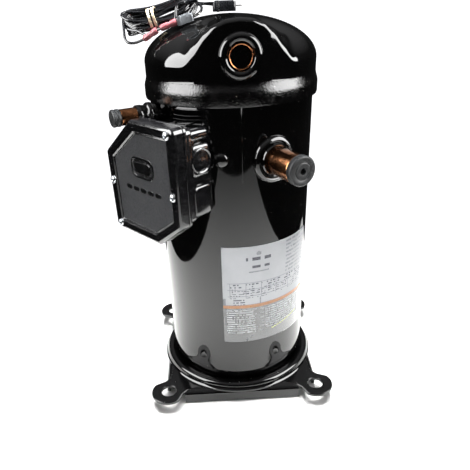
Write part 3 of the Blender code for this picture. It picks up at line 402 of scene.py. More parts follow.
def fine(loop: list, gap: float) -> list:
    """Adds points to a loop so that its sides are short.

    Args:
        loop: The loop's points.
        gap: The longest side allowed.

    Returns:
        The loop with its added points.
    """
    points = []
    for index, start in enumerate(loop):
        first, last = Vector(start), Vector(loop[(index + 1) % len(loop)])
        parts = max(1, math.ceil((last - first).length / gap))
        points += [tuple(first.lerp(last, part / parts)) for part in range(parts)]
    return points


def settle(
    piece: bpy.types.Object, finish: Finish, frame: Matrix = Matrix(), bevel: float = 0.0
) -> bpy.types.Object:
    """Finishes a piece whose mesh is in millimetres: places it, softens its edges and paints it.

    Args:
        piece: The piece, in object mode.
        finish: Its finish.
        frame: Where it goes, in millimetres.
        bevel: The width of its softened edges in millimetres, or 0.

    Returns:
        The piece, at the origin with its place in its mesh.
    """
    rest()
    piece.data.transform(frame)
    piece.data.transform(Matrix.Scale(MM, 4))
    bpy.context.view_layer.objects.active = piece
    piece.select_set(True)
    bpy.ops.object.mode_set(mode="EDIT")
    bpy.ops.mesh.select_all(action="SELECT")
    bpy.ops.mesh.remove_doubles(threshold=1e-6)
    bpy.ops.mesh.delete_loose()
    bpy.ops.mesh.select_all(action="SELECT")
    bpy.ops.mesh.normals_make_consistent(inside=False)
    bpy.ops.object.mode_set(mode="OBJECT")
    if bevel:
        soft = piece.modifiers.new("soft_edges", "BEVEL")
        soft.width = bevel * MM
        soft.segments = 3
        soft.limit_method = "ANGLE"
        soft.angle_limit = math.radians(38)
        bpy.ops.object.modifier_apply(modifier=soft.name)
    bpy.ops.object.shade_smooth_by_angle(angle=math.radians(40))
    piece.data.materials.append(finish.material())
    return piece


def soften(piece: bpy.types.Object, width: float, segments: int, angle: float) -> None:
    """Bevels a built piece's sharp edges and shades it smooth.

    Args:
        piece: The piece.
        width: The bevel's width in millimetres.
        segments: The bevel's steps.
        angle: The least angle in degrees that counts as sharp.
    """
    rest()
    bpy.context.view_layer.objects.active = piece
    piece.select_set(True)
    soft = piece.modifiers.new("soft_edges", "BEVEL")
    soft.width, soft.segments = width * MM, segments
    soft.limit_method, soft.angle_limit = "ANGLE", math.radians(angle)
    bpy.ops.object.modifier_apply(modifier=soft.name)
    bpy.ops.object.shade_smooth_by_angle(angle=math.radians(40))


def ring_of(name: str, points: list, fill: str) -> bpy.types.Object:
    """A loop of points as a new piece, in millimetres.

    Args:
        name: The piece's name.
        points: Each point's three places.
        fill: NGON for a face in it, NOTHING for none.

    Returns:
        The piece.
    """
    rest()
    bpy.ops.mesh.primitive_circle_add(vertices=len(points), radius=1, fill_type=fill)
    piece = bpy.context.object
    piece.name = name
    piece.data.name = name
    for vertex, point in zip(piece.data.vertices, points):
        vertex.co = point
    return piece


def spun(
    name: str,
    profile: list,
    finish: Finish,
    frame: Matrix = Matrix(),
    steps: int = 64,
    bevel: float = 0.0,
) -> bpy.types.Object:
    """A turned piece.

    Args:
        name: The piece's name.
        profile: Its closed half section as (radius, along the axis).
        finish: Its finish.
        frame: Its axis is this frame's Z.
        steps: The steps round it.
        bevel: The width of its softened edges.

    Returns:
        The piece.
    """
    piece = ring_of(name, [(max(r, 0.0), 0, z) for r, z in profile], "NOTHING")
    bpy.ops.object.mode_set(mode="EDIT")
    bpy.ops.mesh.select_all(action="SELECT")
    bpy.ops.mesh.spin(steps=steps, angle=math.tau, center=(0, 0, 0), axis=(0, 0, 1))
    bpy.ops.mesh.select_all(action="SELECT")
    bpy.ops.mesh.remove_doubles(threshold=1e-4)
    bpy.ops.object.mode_set(mode="OBJECT")
    return settle(piece, finish, frame, bevel)


def slab(
    name: str,
    loop: list,
    low: float,
    high: float,
    finish: Finish,
    frame: Matrix = Matrix(),
    bevel: float = 0.0,
    cuts: tuple = (),
) -> bpy.types.Object:
    """A plate of a flat outline, with steps of inset and height on its upper side.

    Args:
        name: The piece's name.
        loop: The outline's points.
        low: Its lower side.
        high: Its upper side.
        finish: Its finish.
        frame: Where it goes.
        bevel: The width of its softened edges.
        cuts: Pairs of inset and rise made in turn on the upper side.

    Returns:
        The piece.
    """
    piece = ring_of(name, [(x, y, low) for x, y in loop], "NGON")
    bpy.ops.object.mode_set(mode="EDIT")
    bpy.ops.mesh.select_all(action="SELECT")
    bpy.ops.mesh.extrude_region_move(TRANSFORM_OT_translate={"value": (0, 0, high - low)})
    for inset, rise in cuts:
        if inset:
            bpy.ops.mesh.inset(thickness=inset, depth=0)
        if rise:
            bpy.ops.mesh.extrude_region_move(TRANSFORM_OT_translate={"value": (0, 0, rise)})
    bpy.ops.object.mode_set(mode="OBJECT")
    return settle(piece, finish, frame, bevel)


def stacked(
    name: str, layers: list, finish: Finish, frame: Matrix = Matrix(), bevel: float = 0.0
) -> bpy.types.Object:
    """A piece built up from outlines of equal point counts, each extruded from the last.

    Args:
        name: The piece's name.
        layers: Each outline with its height, the first the underside.
        finish: Its finish.
        frame: Where it goes.
        bevel: The width of its softened edges.

    Returns:
        The piece.
    """
    loop, level = layers[0]
    piece = ring_of(name, [(x, y, level) for x, y in loop], "NGON")
    bpy.ops.object.mode_set(mode="EDIT")
    bpy.ops.mesh.select_all(action="SELECT")
    for wanted, height in layers[1:]:
        bpy.ops.mesh.extrude_region_move(TRANSFORM_OT_translate={"value": (0, 0, height - level)})
        bpy.ops.object.mode_set(mode="OBJECT")
        order = {(round(x, 3), round(y, 3)): index for index, (x, y) in enumerate(loop)}
        for vertex in piece.data.vertices:
            if vertex.select:
                x, y = wanted[order[(round(vertex.co.x, 3), round(vertex.co.y, 3))]]
                vertex.co = (x, y, height)
        bpy.ops.object.mode_set(mode="EDIT")
        loop, level = wanted, height
    bpy.ops.object.mode_set(mode="OBJECT")
    return settle(piece, finish, frame, bevel)


def joined(name: str, pieces: list) -> bpy.types.Object:
    """Joins pieces into the first, under one name.

    Args:
        name: The name.
        pieces: The pieces.

    Returns:
        The joined piece.
    """
    rest()
    for piece in pieces:
        piece.select_set(True)
    bpy.context.view_layer.objects.active = pieces[0]
    bpy.ops.object.join()
    pieces[0].name = name
    return pieces[0]


def fit(piece: bpy.types.Object, body: Body, slot: str, *nodes: str) -> None:
    """Rides a piece on its body, hides the nodes that it stands for and logs it.

    Args:
        piece: The piece.
        body: Its body.
        slot: Its slot's name; not used.
        nodes: The nodes that it stands for.
    """
    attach(piece, body.value)
    if nodes:
        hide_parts(*nodes)
    LOG.info("%s: %d faces on %s", piece.name, len(getattr(piece.data, "polygons", ())), body.value)


# The studio


@dataclass
class Studio:
    """The camera, the pale floor and the soft lights. Places are in millimetres."""

    eye: tuple[float, float, float] = (-29.8, -572.4, 458.1)
    yaw: float = 0.022
    pitch: float = 0.537
    roll: float = -0.041
    lens: float = 37.4
    shift: tuple[float, float] = (0.0249, 0.1077)
    floor: Floor = Floor()

    def camera(self) -> None:
        """Sets up the camera."""
        data = bpy.data.cameras.new("camera")
        data.lens, data.sensor_width = self.lens, 36
        data.shift_x, data.shift_y = self.shift
        data.clip_start, data.clip_end = 0.01, 50
        right = Vector((math.cos(self.yaw), -math.sin(self.yaw), 0))
        ahead = Vector(
            (
                math.sin(self.yaw) * math.cos(self.pitch),
                math.cos(self.yaw) * math.cos(self.pitch),
                -math.sin(self.pitch),
            )
        )
        up = right.cross(ahead)
        level, lift = math.cos(self.roll), math.sin(self.roll)
        axes = (level * right + lift * up, -lift * right + level * up, -ahead)
        camera = bpy.data.objects.new("camera", data)
        camera.matrix_world = Matrix.Translation(Vector(self.eye) * MM) @ Matrix(axes).transposed().to_4x4()
        bpy.context.scene.collection.objects.link(camera)
        bpy.context.scene.camera = camera

    def stage(self) -> None:
        """Lays the floor, whose edge is what shows dark in the enamel above the pale part."""
        rest()
        bpy.ops.mesh.primitive_plane_add(size=1)
        sheet = bpy.context.object
        sheet.name = "floor"
        f = self.floor
        for vertex in sheet.data.vertices:
            x, y = vertex.co.x, vertex.co.y
            vertex.co = (MM * (f.left if x < 0 else f.right), MM * (f.near if y < 0 else f.far), -0.0003)
        matt = Finish("pale_floor", f.colour, f.colour, 0.8, 0.02, mottle=80, grain=20, depth=0.0)
        sheet.data.materials.append(matt.material())

    def lamp(
        self,
        name: str,
        at: tuple,
        size: float,
        power: float,
        seen: bool,
        aim: tuple = (0, 0, 150),
        fan: float = 180.0,
    ) -> None:
        """Adds a square soft lamp.

        Args:
            name: The lamp's name.
            at: Its place.
            size: Its side.
            power: Its power in watts.
            seen: Whether it is a reflector that only shows in gloss, or a lamp that only lights.
            aim: The point that it faces.
            fan: The angle of its beam in degrees.
        """
        data = bpy.data.lights.new(name, "AREA")
        data.size, data.energy, data.spread = size * MM, power, math.radians(fan)
        lamp = bpy.data.objects.new(name, data)
        lamp.location = Vector(at) * MM
        lamp.rotation_euler = (Vector(aim) - Vector(at)).to_track_quat("-Z", "Y").to_euler()
        lamp.visible_glossy, lamp.visible_diffuse = seen, not seen
        bpy.context.scene.collection.objects.link(lamp)

    def lights(self) -> None:
        """Hangs the lamps and sets the sky: white behind the object, dark where gloss looks."""
        self.lamp("overhead", (0, 40, 1050), 600, 15, False, (0, 40, 0), 96)
        self.lamp("left_box", (-1000, -340, 800), 980, 34, True, (0, 0, 300))
        self.lamp("right_box", (1000, -360, 800), 940, 34, True, (0, 0, 300))
        self.lamp("front_fill", (200, -900, 1300), 900, 5, False)
        world = bpy.context.scene.world or bpy.data.worlds.new("sky")
        bpy.context.scene.world = world
        world.use_nodes = True
        tree = world.node_tree
        tree.nodes.clear()
        path = add(tree, "ShaderNodeLightPath", {})
        way = add(tree, "ShaderNodeTexCoord", {})
        rise = add(tree, "ShaderNodeSeparateXYZ", {}, {"Vector": way.outputs["Generated"]})
        ceiling = add(
            tree,
            "ShaderNodeMapRange",
            {"From Min": 0.25, "From Max": 1.0, "To Min": 0.015, "To Max": 0.5},
            {"Value": rise.outputs["Z"]},
        )
        glow = add(
            tree,
            "ShaderNodeMapRange",
            {"To Max": 1.4},
            {"Value": path.outputs["Is Camera Ray"], "To Min": ceiling.outputs["Result"]},
        )
        sky = add(tree, "ShaderNodeBackground", {"Color": linear("#f6f6f8")}, {"Strength": glow.outputs[0]})
        add(tree, "ShaderNodeOutputWorld", {}, {"Surface": sky.outputs[0]})
        bpy.context.scene.view_settings.view_transform = "Standard"

    def build(self) -> None:
        """Makes the camera, floor and lights."""
        self.camera()
        self.stage()
        self.lights()


# The leads


@dataclass
class Harness:
    """Three 2.6 mm leads folded into a banded hank on the cap, with their ends."""

    centre: tuple[float, float, float] = (-68.5, -4, 441.3)
    tilt: float = 15.0
    wire: float = 2.6
    turns: int = 5
    half: float = 43.5

    def frame(self) -> Matrix:
        """The hank's frame: X along it, rising to the viewer's right.

        Returns:
            The frame's matrix in millimetres.
        """
        turn = math.radians(self.tilt)
        along, up = Vector((math.cos(turn), 0, math.sin(turn))), Vector((-math.sin(turn), 0, math.cos(turn)))
        frame = Matrix((along, (0, 1, 0), up)).transposed().to_4x4()
        frame.translation = self.centre
        return frame

    def turn_point(self, angle: float, lead: int) -> Vector:
        """A point of a lead's turns, in the hank's frame.

        Args:
            angle: How far round the lead has gone.
            lead: Which lead.

        Returns:
            The point.
        """
        lap = angle / math.tau
        dice = random.Random(31 * lead + int(lap))
        other = random.Random(31 * lead + int(lap) + 1)
        blend = lap - int(lap)
        soft = blend * blend * (3 - 2 * blend)

        def vary(low: float, high: float) -> float:
            """A value that changes smoothly from one turn to the next."""
            return dice.uniform(low, high) * (1 - soft) + other.uniform(low, high) * soft

        reach, width, lift = vary(-9, 1), vary(6.5, 20.5), vary(-5, 6.5)
        lean = vary(0.3, 1.05)
        x = (self.half + reach) * math.cos(angle)
        side = math.sin(angle)
        y = width * math.copysign(abs(side) ** 0.62, side)
        spread = max(0.0, -x / self.half) ** 1.5
        waist = math.exp(-(((x + 9) / 15) ** 2))
        y *= 1 - 0.3 * waist
        z = (lift * (1 + 1.1 * spread) + lean * y) * (1 - 0.4 * waist) + 2.4 * math.sin(2 * angle + lead)
        return Vector((x, y, max(-9.6 - 5 * spread, min(10.2 + 9 * spread, z))))

    def lead(self, index: int, start: list, stop: float, end: list) -> tuple[bpy.types.Object, float]:
        """One lead as a curve: from its plug, five times round the hank, to its end.

        Args:
            index: Which lead.
            start: Its first points, from its plug, in the row's frame.
            stop: How far into its last turn it leaves the hank, in radians.
            end: Its last points, in the row's frame.

        Returns:
            The lead and its length.
        """
        frame = self.frame()
        first, last = 1.2 + 0.12 * index, math.tau * self.turns + stop
        steps = int((last - first) / math.tau * 30)
        angles = [first + (last - first) * step / steps for step in range(steps + 1)]
        wound = [frame @ self.turn_point(angle, index) for angle in angles]
        points = [Vector(p) for p in start] + wound + [Vector(p) for p in end]
        route = self.smooth(points, len(start), len(end))
        for _ in range(6):
            inner = [(a + b * 2 + c) / 4 for a, b, c in zip(route, route[1:], route[2:])]
            route = [route[0], *inner, route[-1]]
        long = sum((b - a).length for a, b in zip(route, route[1:]))
        curve = bpy.data.curves.new(f"lead_{index + 1}", "CURVE")
        curve.dimensions = "3D"
        curve.bevel_depth = self.wire / 2 * MM
        curve.bevel_resolution = 3
        curve.use_fill_caps = True
        line = curve.splines.new("POLY")
        line.points.add(len(route) - 1)
        for point, place in zip(line.points, route):
            point.co = (*(place * MM), 1)
        for spline in curve.splines:
            spline.use_smooth = True
        lead = bpy.data.objects.new(f"lead_{index + 1}", curve)
        bpy.context.scene.collection.objects.link(lead)
        curve.materials.append(JACKET.material())
        return lead, long

    def smooth(self, points: list, head: int, tail: int) -> list:
        """Draws a smooth line through points.

        Args:
            points: The points to pass.
            head: How many are at the start.
            tail: How many are at the end.

        Returns:
            Close points along the line.
        """
        route = []
        count = len(points)
        for index in range(count - 1):
            a, b = points[index], points[index + 1]
            before = points[index - 1] if index else a * 2 - b
            after = points[index + 2] if index + 2 < count else b * 2 - a
            loose = index < head or index >= count - tail - 1
            parts = 8 if loose else 1
            for part in range(parts):
                t = part / parts
                route.append(
                    0.5
                    * (
                        2 * a
                        + (b - before) * t
                        + (2 * before - 5 * a + 4 * b - after) * t * t
                        + (3 * a - before - 3 * b + after) * t * t * t
                    )
                )
        route.append(points[-1])
        return route

    def sleeve(
        self, name: str, start: tuple, end: tuple, radius: float, finish: Finish = SLEEVE
    ) -> bpy.types.Object:
        """A shrunk sleeve with a waist and soft ends, between two points.

        Args:
            name: The piece's name.
            start: One end.
            end: The other end.
            radius: Its radius.
            finish: Its finish.

        Returns:
            The piece.
        """
        first, last = Vector(start), Vector(end)
        long = (last - first).length
        frame = (last - first).to_track_quat("Z", "Y").to_matrix().to_4x4()
        frame.translation = first
        profile = [(0, 0), (radius * 0.62, 0), (radius * 0.86, 0.8), (radius, 2.2), (radius, long * 0.42)]
        profile += [(radius * 0.86, long * 0.52), (radius * 0.9, long * 0.62), (radius * 1.05, long * 0.72)]
        profile += [(radius * 1.05, long - 1.2), (radius * 0.9, long - 0.2), (radius * 0.7, long), (0, long)]
        return spun(name, profile, finish, frame, 24)

    def housing(
        self, name: str, size: tuple, place: Matrix, blades: int, finish: Finish = CLEAR
    ) -> bpy.types.Object:
        """A clear moulded housing with a collar, a latch and tin blades showing from it.

        Args:
            name: The piece's name.
            size: Its length, depth and height.
            place: Its frame, X along it.
            blades: How many blades it has.
            finish: What it is moulded in.

        Returns:
            The piece.
        """
        long, deep, tall = size
        x, y = long / 2, deep / 2
        loop = rounded([(-x, -y), (x, -y), (x, y), (-x, y)], 2.4, 4)
        shell = slab(name, loop, -tall / 2, tall / 2 - 1, finish, place, 0.35, ((0.8, -0.7), (1.2, 1.7)))
        parts = [shell]
        wide = y + 0.7
        collar = rounded([(-1.2, -wide), (1.2, -wide), (1.2, wide), (-1.2, wide)], 0.5, 3)
        shift = Matrix.Translation((-long * 0.28, 0, 0))
        parts.append(slab("collar", collar, -tall / 2 - 0.3, tall / 2 + 0.2, finish, place @ shift, 0.2))
        for blade in range(blades):
            level = (blade - (blades - 1) / 2) * deep * 0.32
            strip = rounded([(0, -1.6), (9, -1.6), (10.5, -0.6), (10.5, 0.6), (9, 1.6), (0, 1.6)], 0.3, 2)
            at = place @ Matrix.Translation((long / 2 - 3, level, 0))
            parts.append(slab("blade", strip, -0.4, 0.4, TIN, at, 0.1))
        return joined(name, parts)

    def band(self) -> bpy.types.Object:
        """A rubber band wound four times round the hank's waist.

        Returns:
            The piece.
        """
        parts = []
        frame = self.frame()
        for lap in range(4):
            along = -12.5 + 2.3 * lap
            slant = 0.06 * (lap % 2) - 0.03
            loop = []
            for x, y in circle(1, 72):
                wide = math.copysign(abs(x) ** 0.8, x) * (17.2 + 0.3 * lap)
                loop.append((along + slant * wide, wide, math.copysign(abs(y) ** 0.75, y) * 10.1))
            outer = ring_of("band_lap", loop, "NOTHING")
            rest()
            outer.select_set(True)
            bpy.context.view_layer.objects.active = outer
            bpy.ops.object.convert(target="CURVE")
            outer.data.bevel_depth, outer.data.bevel_resolution = 0.75, 3
            bpy.ops.object.convert(target="MESH")
            parts.append(settle(bpy.context.object, BAND, frame))
        return joined("band", parts)

    def build(self) -> None:
        """Builds the leads, band, sleeves and connectors."""
        frame = self.frame()
        plug_at = Matrix.Translation((-5, -5, 448.4))
        plug = self.housing("mating_plug", (23, 15, 9.5), plug_at, 3, SMOKED)
        fit(plug, Body.CASING, "clear_nylon", "lead_plug")
        flag = self.housing("flag_housing", (17, 7, 8), frame @ Matrix.Translation((22.5, -28.5, -8)), 1)
        fit(flag, Body.CASING, "clear_nylon", "flag_terminal")
        near, far = frame @ Vector((-3, -28, -9)), frame @ Vector((14.5, -28.5, -8))
        upper = self.sleeve("upper_sleeve", near, far, 3.0)
        fit(upper, Body.CASING, "sleeve_nylon", "crimp_sleeve")
        lower = self.sleeve("lower_sleeve", (-87, -25.5, 422.5), (-72.5, -29.5, 430.5), 2.9)
        fit(lower, Body.CASING, "sleeve_nylon")
        near, far = frame @ Vector((26, -12, 4.6)), frame @ Vector((39, -9.5, 4.4))
        tucked = self.sleeve("tucked_sleeve", near, far, 2.7, SMOKED)
        fit(tucked, Body.CASING, "sleeve_nylon")
        ends = [
            (4.0, [(-84, -26.5, 426), (-77, -28.5, 429)], frame @ Vector((-1, -28, -8.9)), (flag, upper)),
            (3.35, [(-106, -21, 422), (-97, -24.2, 419.5)], Vector((-86, -25.7, 423)), (lower,)),
            (5.0, [frame @ Vector((18, -13.4, 4.8))], frame @ Vector((27.5, -11.8, 4.6)), (tucked,)),
        ]
        for index, (stop, way, last, pieces) in enumerate(ends):
            inside = -3.6 + 4.2 * (index - 1)
            start = [
                (inside, 1.5, 447.6),
                (inside, 7.5, 447.8),
                (inside - 2.5, 13.5, 448.6 + 0.6 * index),
                (inside - 10, 18.5 - index, 450),
                (inside - 19, 17.5 - index, 451),
            ]
            lead, long = self.lead(index, start, stop, [*way, last])
            if index == 0:
                fit(lead, Body.CASING, "lead_jacket", "lead_hank", "lead_tail")
            else:
                fit(lead, Body.CASING, "lead_jacket")
        fit(self.band(), Body.CASING, "band_rubber", "rubber_band")


# The casing


@dataclass
class Cap:
    """The pressed top cap: a dome with a flat-fronted nose whose crest is a bell curve."""

    radius: float = 91.0
    angle: float = -87.0
    crest: float = 441.0
    corner: float = 4.2
    crown_steps: int = 70
    crown_low: float = 411.5
    wall_low: float = 389.4
    wall_high: float = 419.0
    bell: tuple = (
        (0, 0), (11, 1), (21, 4.5), (31, 10.5), (42, 16.5), (54, 21.5), (66, 29), (72, 41), (84, 62)
    )

    def drop(self, side: float) -> float:
        """How far the nose's crest has fallen at a distance to the side.

        Args:
            side: The distance from the nose's middle.

        Returns:
            The fall.
        """
        side = abs(side)
        for (x0, d0), (x1, d1) in zip(self.bell, self.bell[1:]):
            if side <= x1:
                t = (side - x0) / (x1 - x0)
                return d0 + (d1 - d0) * (t * 0.5 + 0.5 * t * t * (3 - 2 * t))
        return self.bell[-1][1]

    def height(self, x: float, y: float) -> float:
        """The cap's height at a place in plan, on the outside.

        Args:
            x: The place along X.
            y: The place along Y.

        Returns:
            The height, where the dome and the nose blend into each other.
        """
        turn = math.radians(self.angle)
        side = -x * math.sin(turn) + y * math.cos(turn)
        out = x * math.cos(turn) + y * math.sin(turn)
        r = min(math.hypot(x, y), self.radius)
        dome = 400 + 41.8 * max(0.0, 1 - (r / self.radius) ** 2) ** 0.526
        ease = min(1.0, max(0.0, (abs(side) - 22) / 40))
        corner = self.corner + 19 * ease * ease * (3 - 2 * ease)
        start = self.radius - corner
        roll = 0.0
        if r > start:
            roll = corner - math.sqrt(max(0.0, corner**2 - (r - start) ** 2))
        nose = self.crest - self.drop(side) - roll - max(0.0, 14 - out) * 0.6
        gap = dome - nose
        return 0.5 * (dome + nose + math.sqrt(gap * gap + 6.0))

    def profile(self) -> list:
        """The dome's half section, from the middle out, then down the wall to the lip.

        Returns:
            Its points as (radius, height).
        """
        steps = self.crown_steps
        over = [(self.radius * math.sin(math.pi / 2 * i / steps), 440.0 - 0.3 * i) for i in range(steps + 1)]
        wall = [(self.radius, 410 - 2 * i) for i in range(10)]
        flare = [(91.05, 387), (91.4, 385), (92.1, 382.6), (92.9, 380.4), (93.4, 378.2), (93.5, 376)]
        flare += [(93.5, 368), (93.1, 366)]
        inside = [(90.0, 366), (89.6, 368), (89.6, 381.5), (87.5, 388), (87.2, 396), (80, 403), (0, 403)]
        return over + wall + flare + inside

    def build(self) -> None:
        """Builds the cap."""
        rest()
        profile = self.profile()
        piece = ring_of("cap", [(r, 0, z) for r, z in profile], "NOTHING")
        bpy.ops.object.mode_set(mode="EDIT")
        bpy.ops.mesh.select_all(action="SELECT")
        bpy.ops.mesh.spin(steps=216, angle=math.tau, center=(0, 0, 0), axis=(0, 0, 1))
        bpy.ops.mesh.select_all(action="SELECT")
        bpy.ops.mesh.remove_doubles(threshold=1e-4)
        bpy.ops.object.mode_set(mode="OBJECT")
        limit = profile[self.crown_steps + 10][1]
        for vertex in piece.data.vertices:
            x, y, z = vertex.co
            r = math.hypot(x, y)
            if r > 91.05 or (z <= 403.5 and r < 90.5):
                continue
            if z >= self.crown_low and r <= self.radius - 0.001:
                vertex.co.z = self.height(x, y)
            elif r >= self.radius - 0.01 and z > limit:
                rim = self.height(x, y)
                share = (z - self.wall_low) / (self.wall_high - self.wall_low)
                vertex.co.z = self.wall_low + min(1.0, share) * (rim - self.wall_low)
        settle(piece, ENAMEL)
        piece.data.materials.append(SPATTERED.material())
        for face in piece.data.polygons:
            r = math.hypot(face.center.x, face.center.y)
            if face.center.z < 0.388 and r > 0.0905:
                face.material_index = 1
        fit(piece, Body.CASING, "black_enamel", "top_cap")


@dataclass
class Shell:
    """The rolled tube, the pressed bottom cup and the plug weld on the tube."""

    radius: float = 89.0
    bore: float = 85.5
    cup: float = 85.2

    def build(self) -> None:
        """Builds the tube, the cup and the weld."""
        tube = [(self.bore, 38), (self.radius - 1.2, 38), (self.radius - 0.3, 38.6), (self.radius, 40)]
        tube += [(self.radius, z) for z in range(60, 379, 20)]
        tube += [(self.radius, 378.4), (88.4, 379), (self.bore, 379)]
        body = spun("tube", tube, ENAMEL, steps=216)
        fit(body, Body.CASING, "black_enamel", "shell_tube")
        seat = Matrix.Translation((5, -self.radius + 0.15, 0))
        line = slab("seam_bead", circle(0.45, 10), 292, 366, ENAMEL, seat, 0.1)
        fit(line, Body.CASING, "black_enamel")
        quarter = [math.pi / 2 * i / 12 for i in range(13)]
        bend = [(self.cup - 22 + 22 * math.sin(a), 22 - 22 * math.cos(a)) for a in quarter]
        hollow = [(self.cup - 3.5 - r, z) for r, z in ((0, 22), (2.7, 14), (9, 6.5), (18.5, 3.5))]
        cup = [(0, 0), *bend, (self.cup, 54.5), (self.cup - 0.8, 56), (self.cup - 3.5, 56), *hollow, (0, 3.5)]
        fit(spun("cup", cup, PLATE_ENAMEL, steps=160), Body.CASING, "black_enamel", "bottom_cup")
        dome = [(0, 87.5), (7.4, 87.5), (7.4, 88.9), (6.9, 89.6), (5.6, 90.6), (3.6, 91.3)]
        dome += [(1.6, 91.6), (0, 91.6)]
        weld = spun("weld_button", dome, ENAMEL, radial(-100.7, 315), 40)
        fit(weld, Body.CASING, "black_enamel", "plug_weld")


@dataclass
class Foot:
    """The pressed base plate: ears with holes, down-turned flanges and a ridge round the shell."""

    half: float = 95.25
    ear: float = 22.0
    hole: float = 9.5
    opening: float = 85.5

    def outline(self) -> list:
        """The plate's edge seen from above.

        Returns:
            Its points.
        """
        points = []
        for quarter in range(4):
            turn = math.radians(90 * quarter)
            corner = circle(self.ear, 22, (self.half, self.half), math.radians(-35), math.radians(160))
            waist = [(77, 101), (71, 95), (60, 92.5)]
            for x, y in corner + waist + [(-x, y) for x, y in waist[::-1]]:
                across = x * math.cos(turn) - y * math.sin(turn)
                points.append((across, x * math.sin(turn) + y * math.cos(turn)))
        return points

    def holes(self, plate: bpy.types.Object) -> None:
        """Cuts the four bolt holes and the shell's opening through the plate.

        Args:
            plate: The plate.
        """
        bores = [(sx * self.half, sy * self.half, self.hole, 48) for sx in (-1, 1) for sy in (-1, 1)]
        for x, y, radius, sides in [*bores, (0, 0, self.opening, 120)]:
            rest()
            bpy.ops.mesh.primitive_cylinder_add(
                vertices=sides, radius=radius * MM, depth=0.05, location=(x * MM, y * MM, 0.018)
            )
            drill = bpy.context.object
            cut = plate.modifiers.new("hole", "BOOLEAN")
            cut.operation, cut.solver, cut.object = "DIFFERENCE", "EXACT", drill
            rest()
            bpy.context.view_layer.objects.active = plate
            plate.select_set(True)
            bpy.ops.object.modifier_apply(modifier=cut.name)
            bpy.data.objects.remove(drill)

    def build(self) -> None:
        """Builds the plate, its ridge and its flanges."""
        plate = slab("plate", self.outline(), 15.5, 20, PLATE_ENAMEL)
        self.holes(plate)
        soften(plate, 1.1, 3, 50)
        section = [(85.5, 17), (85.5, 24.5), (86.5, 26), (92, 28.6), (94.5, 29), (97.5, 28.6), (99.4, 27.2)]
        section += [(100.4, 24.5), (101.2, 21.6), (103, 20.15), (103, 18), (86, 17)]
        ridge = spun("ridge", section, PLATE_ENAMEL, steps=180)
        parts = [plate, ridge]
        for quarter in range(4):
            turn = Matrix.Rotation(math.radians(90 * quarter), 4, "Z")
            arc = [math.pi / 2 * i / 8 for i in range(9)]
            roll = [(90 + 9.5 * math.sin(t), 10.4 + 9.5 * math.cos(t)) for t in arc]
            section = [*roll, (99.5, 1), (98.8, 0.2), (95.8, 0.2), (95.2, 1), (95.2, 9), (92.5, 14)]
            section.append((90, 15.6))
            frame = turn @ Matrix(((0, 0, 1, 0), (-1, 0, 0, 0), (0, 1, 0, 0), (0, 0, 0, 1)))
            parts.append(slab("flange", section, -75, 75, PLATE_ENAMEL, frame, 0.5))
        fit(joined("foot_plate", parts), Body.CASING, "black_enamel", "base_plate")


# The fittings


@dataclass
class Fitting:
    """A copper stub in its collar, with its rubber stopper."""

    name: str
    angle: float
    height: float
    tube: list
    collar: list
    plug: list
    collar_node: str
    body: Body

    def build(self) -> None:
        """Builds the stub, the collar and the stopper."""
        frame = radial(self.angle, self.height)
        pipe = spun(f"{self.name}_pipe", self.tube, COPPER, frame, 64, 0.25)
        fit(pipe, Body.CASING, "copper", f"{self.name}_tube")
        collar = spun(f"{self.name}_neck", self.collar, ENAMEL, frame, 80)
        fit(collar, Body.CASING, "black_enamel", self.collar_node)
        plug = spun(f"{self.name}_stopper", self.plug, RUBBER, frame, 64, 0.35)
        fit(plug, self.body, "plug_rubber", f"{self.name}_plug")


def fittings() -> list[Fitting]:
    """The three fittings with their half sections.

    Returns:
        The discharge, suction and access fittings.
    """
    suction_neck = [(14.6, 86.5), (23.2, 86.5), (24.2, 88), (24, 90), (22.6, 92.2), (20.2, 93), (18.2, 92.2)]
    suction_neck += [(17.6, 91.6), (17, 93), (16.5, 94.5), (15.8, 95.3), (14.6, 95)]
    discharge_neck = [(11.5, 84), (19.5, 84), (20.3, 90), (20.1, 93.5), (18.9, 95.7), (17, 96.6), (15, 96.6)]
    discharge_neck += [(13, 95.8), (11.9, 94.6), (11.5, 93)]
    access_neck = [(8.1, 84), (10, 84), (10.4, 86), (9.3, 88), (9.2, 96), (10.6, 96.8), (11, 98), (11, 101)]
    access_neck += [(10.4, 102.2), (9, 103), (9, 107), (9.6, 108), (9.6, 113.2), (9, 114), (8.1, 114)]
    return [
        Fitting(
            "suction", -64.5, 312,
            [(13, 85.6), (14.3, 85.6), (14.3, 129.8), (13.9, 131), (13, 131)],
            suction_neck,
            [(0, 132), (3.1, 132), (3.1, 139), (8, 139), (8.6, 138.4), (9.4, 139), (13.6, 139), (14.9, 137.6),
             (14.9, 132.2), (14.2, 131.2), (12.7, 131.2), (12.7, 120), (11.8, 119), (0, 119)],
            "suction_collar", Body.SUCTION,
        ),
        Fitting(
            "discharge", -87, 410,
            [(9.6, 76), (11.1, 76), (11.1, 95.2), (10.7, 95.9), (9.8, 95.4)],
            discharge_neck,
            [(0, 83), (2.4, 83), (2.4, 88.6), (5.4, 88.6), (5.9, 88), (6.4, 88.4), (7.2, 88.4), (8, 87.4),
             (8, 81), (7.4, 80), (0, 80)],
            "discharge_boss", Body.DISCHARGE,
        ),
        Fitting(
            "access", -151.5, 356,
            [(7, 84), (8, 84), (8, 130.2), (7.6, 131), (7, 131)],
            access_neck,
            [(0, 140), (7.6, 140), (8.6, 139), (8.6, 136.8), (8, 136.3), (8, 135.4), (8.6, 134.8),
             (8.6, 132.2), (8, 131.2), (6.9, 131.2), (6.9, 119), (6, 118), (0, 118)],
            "access_collar", Body.ACCESS,
        ),
    ]


# The terminal box


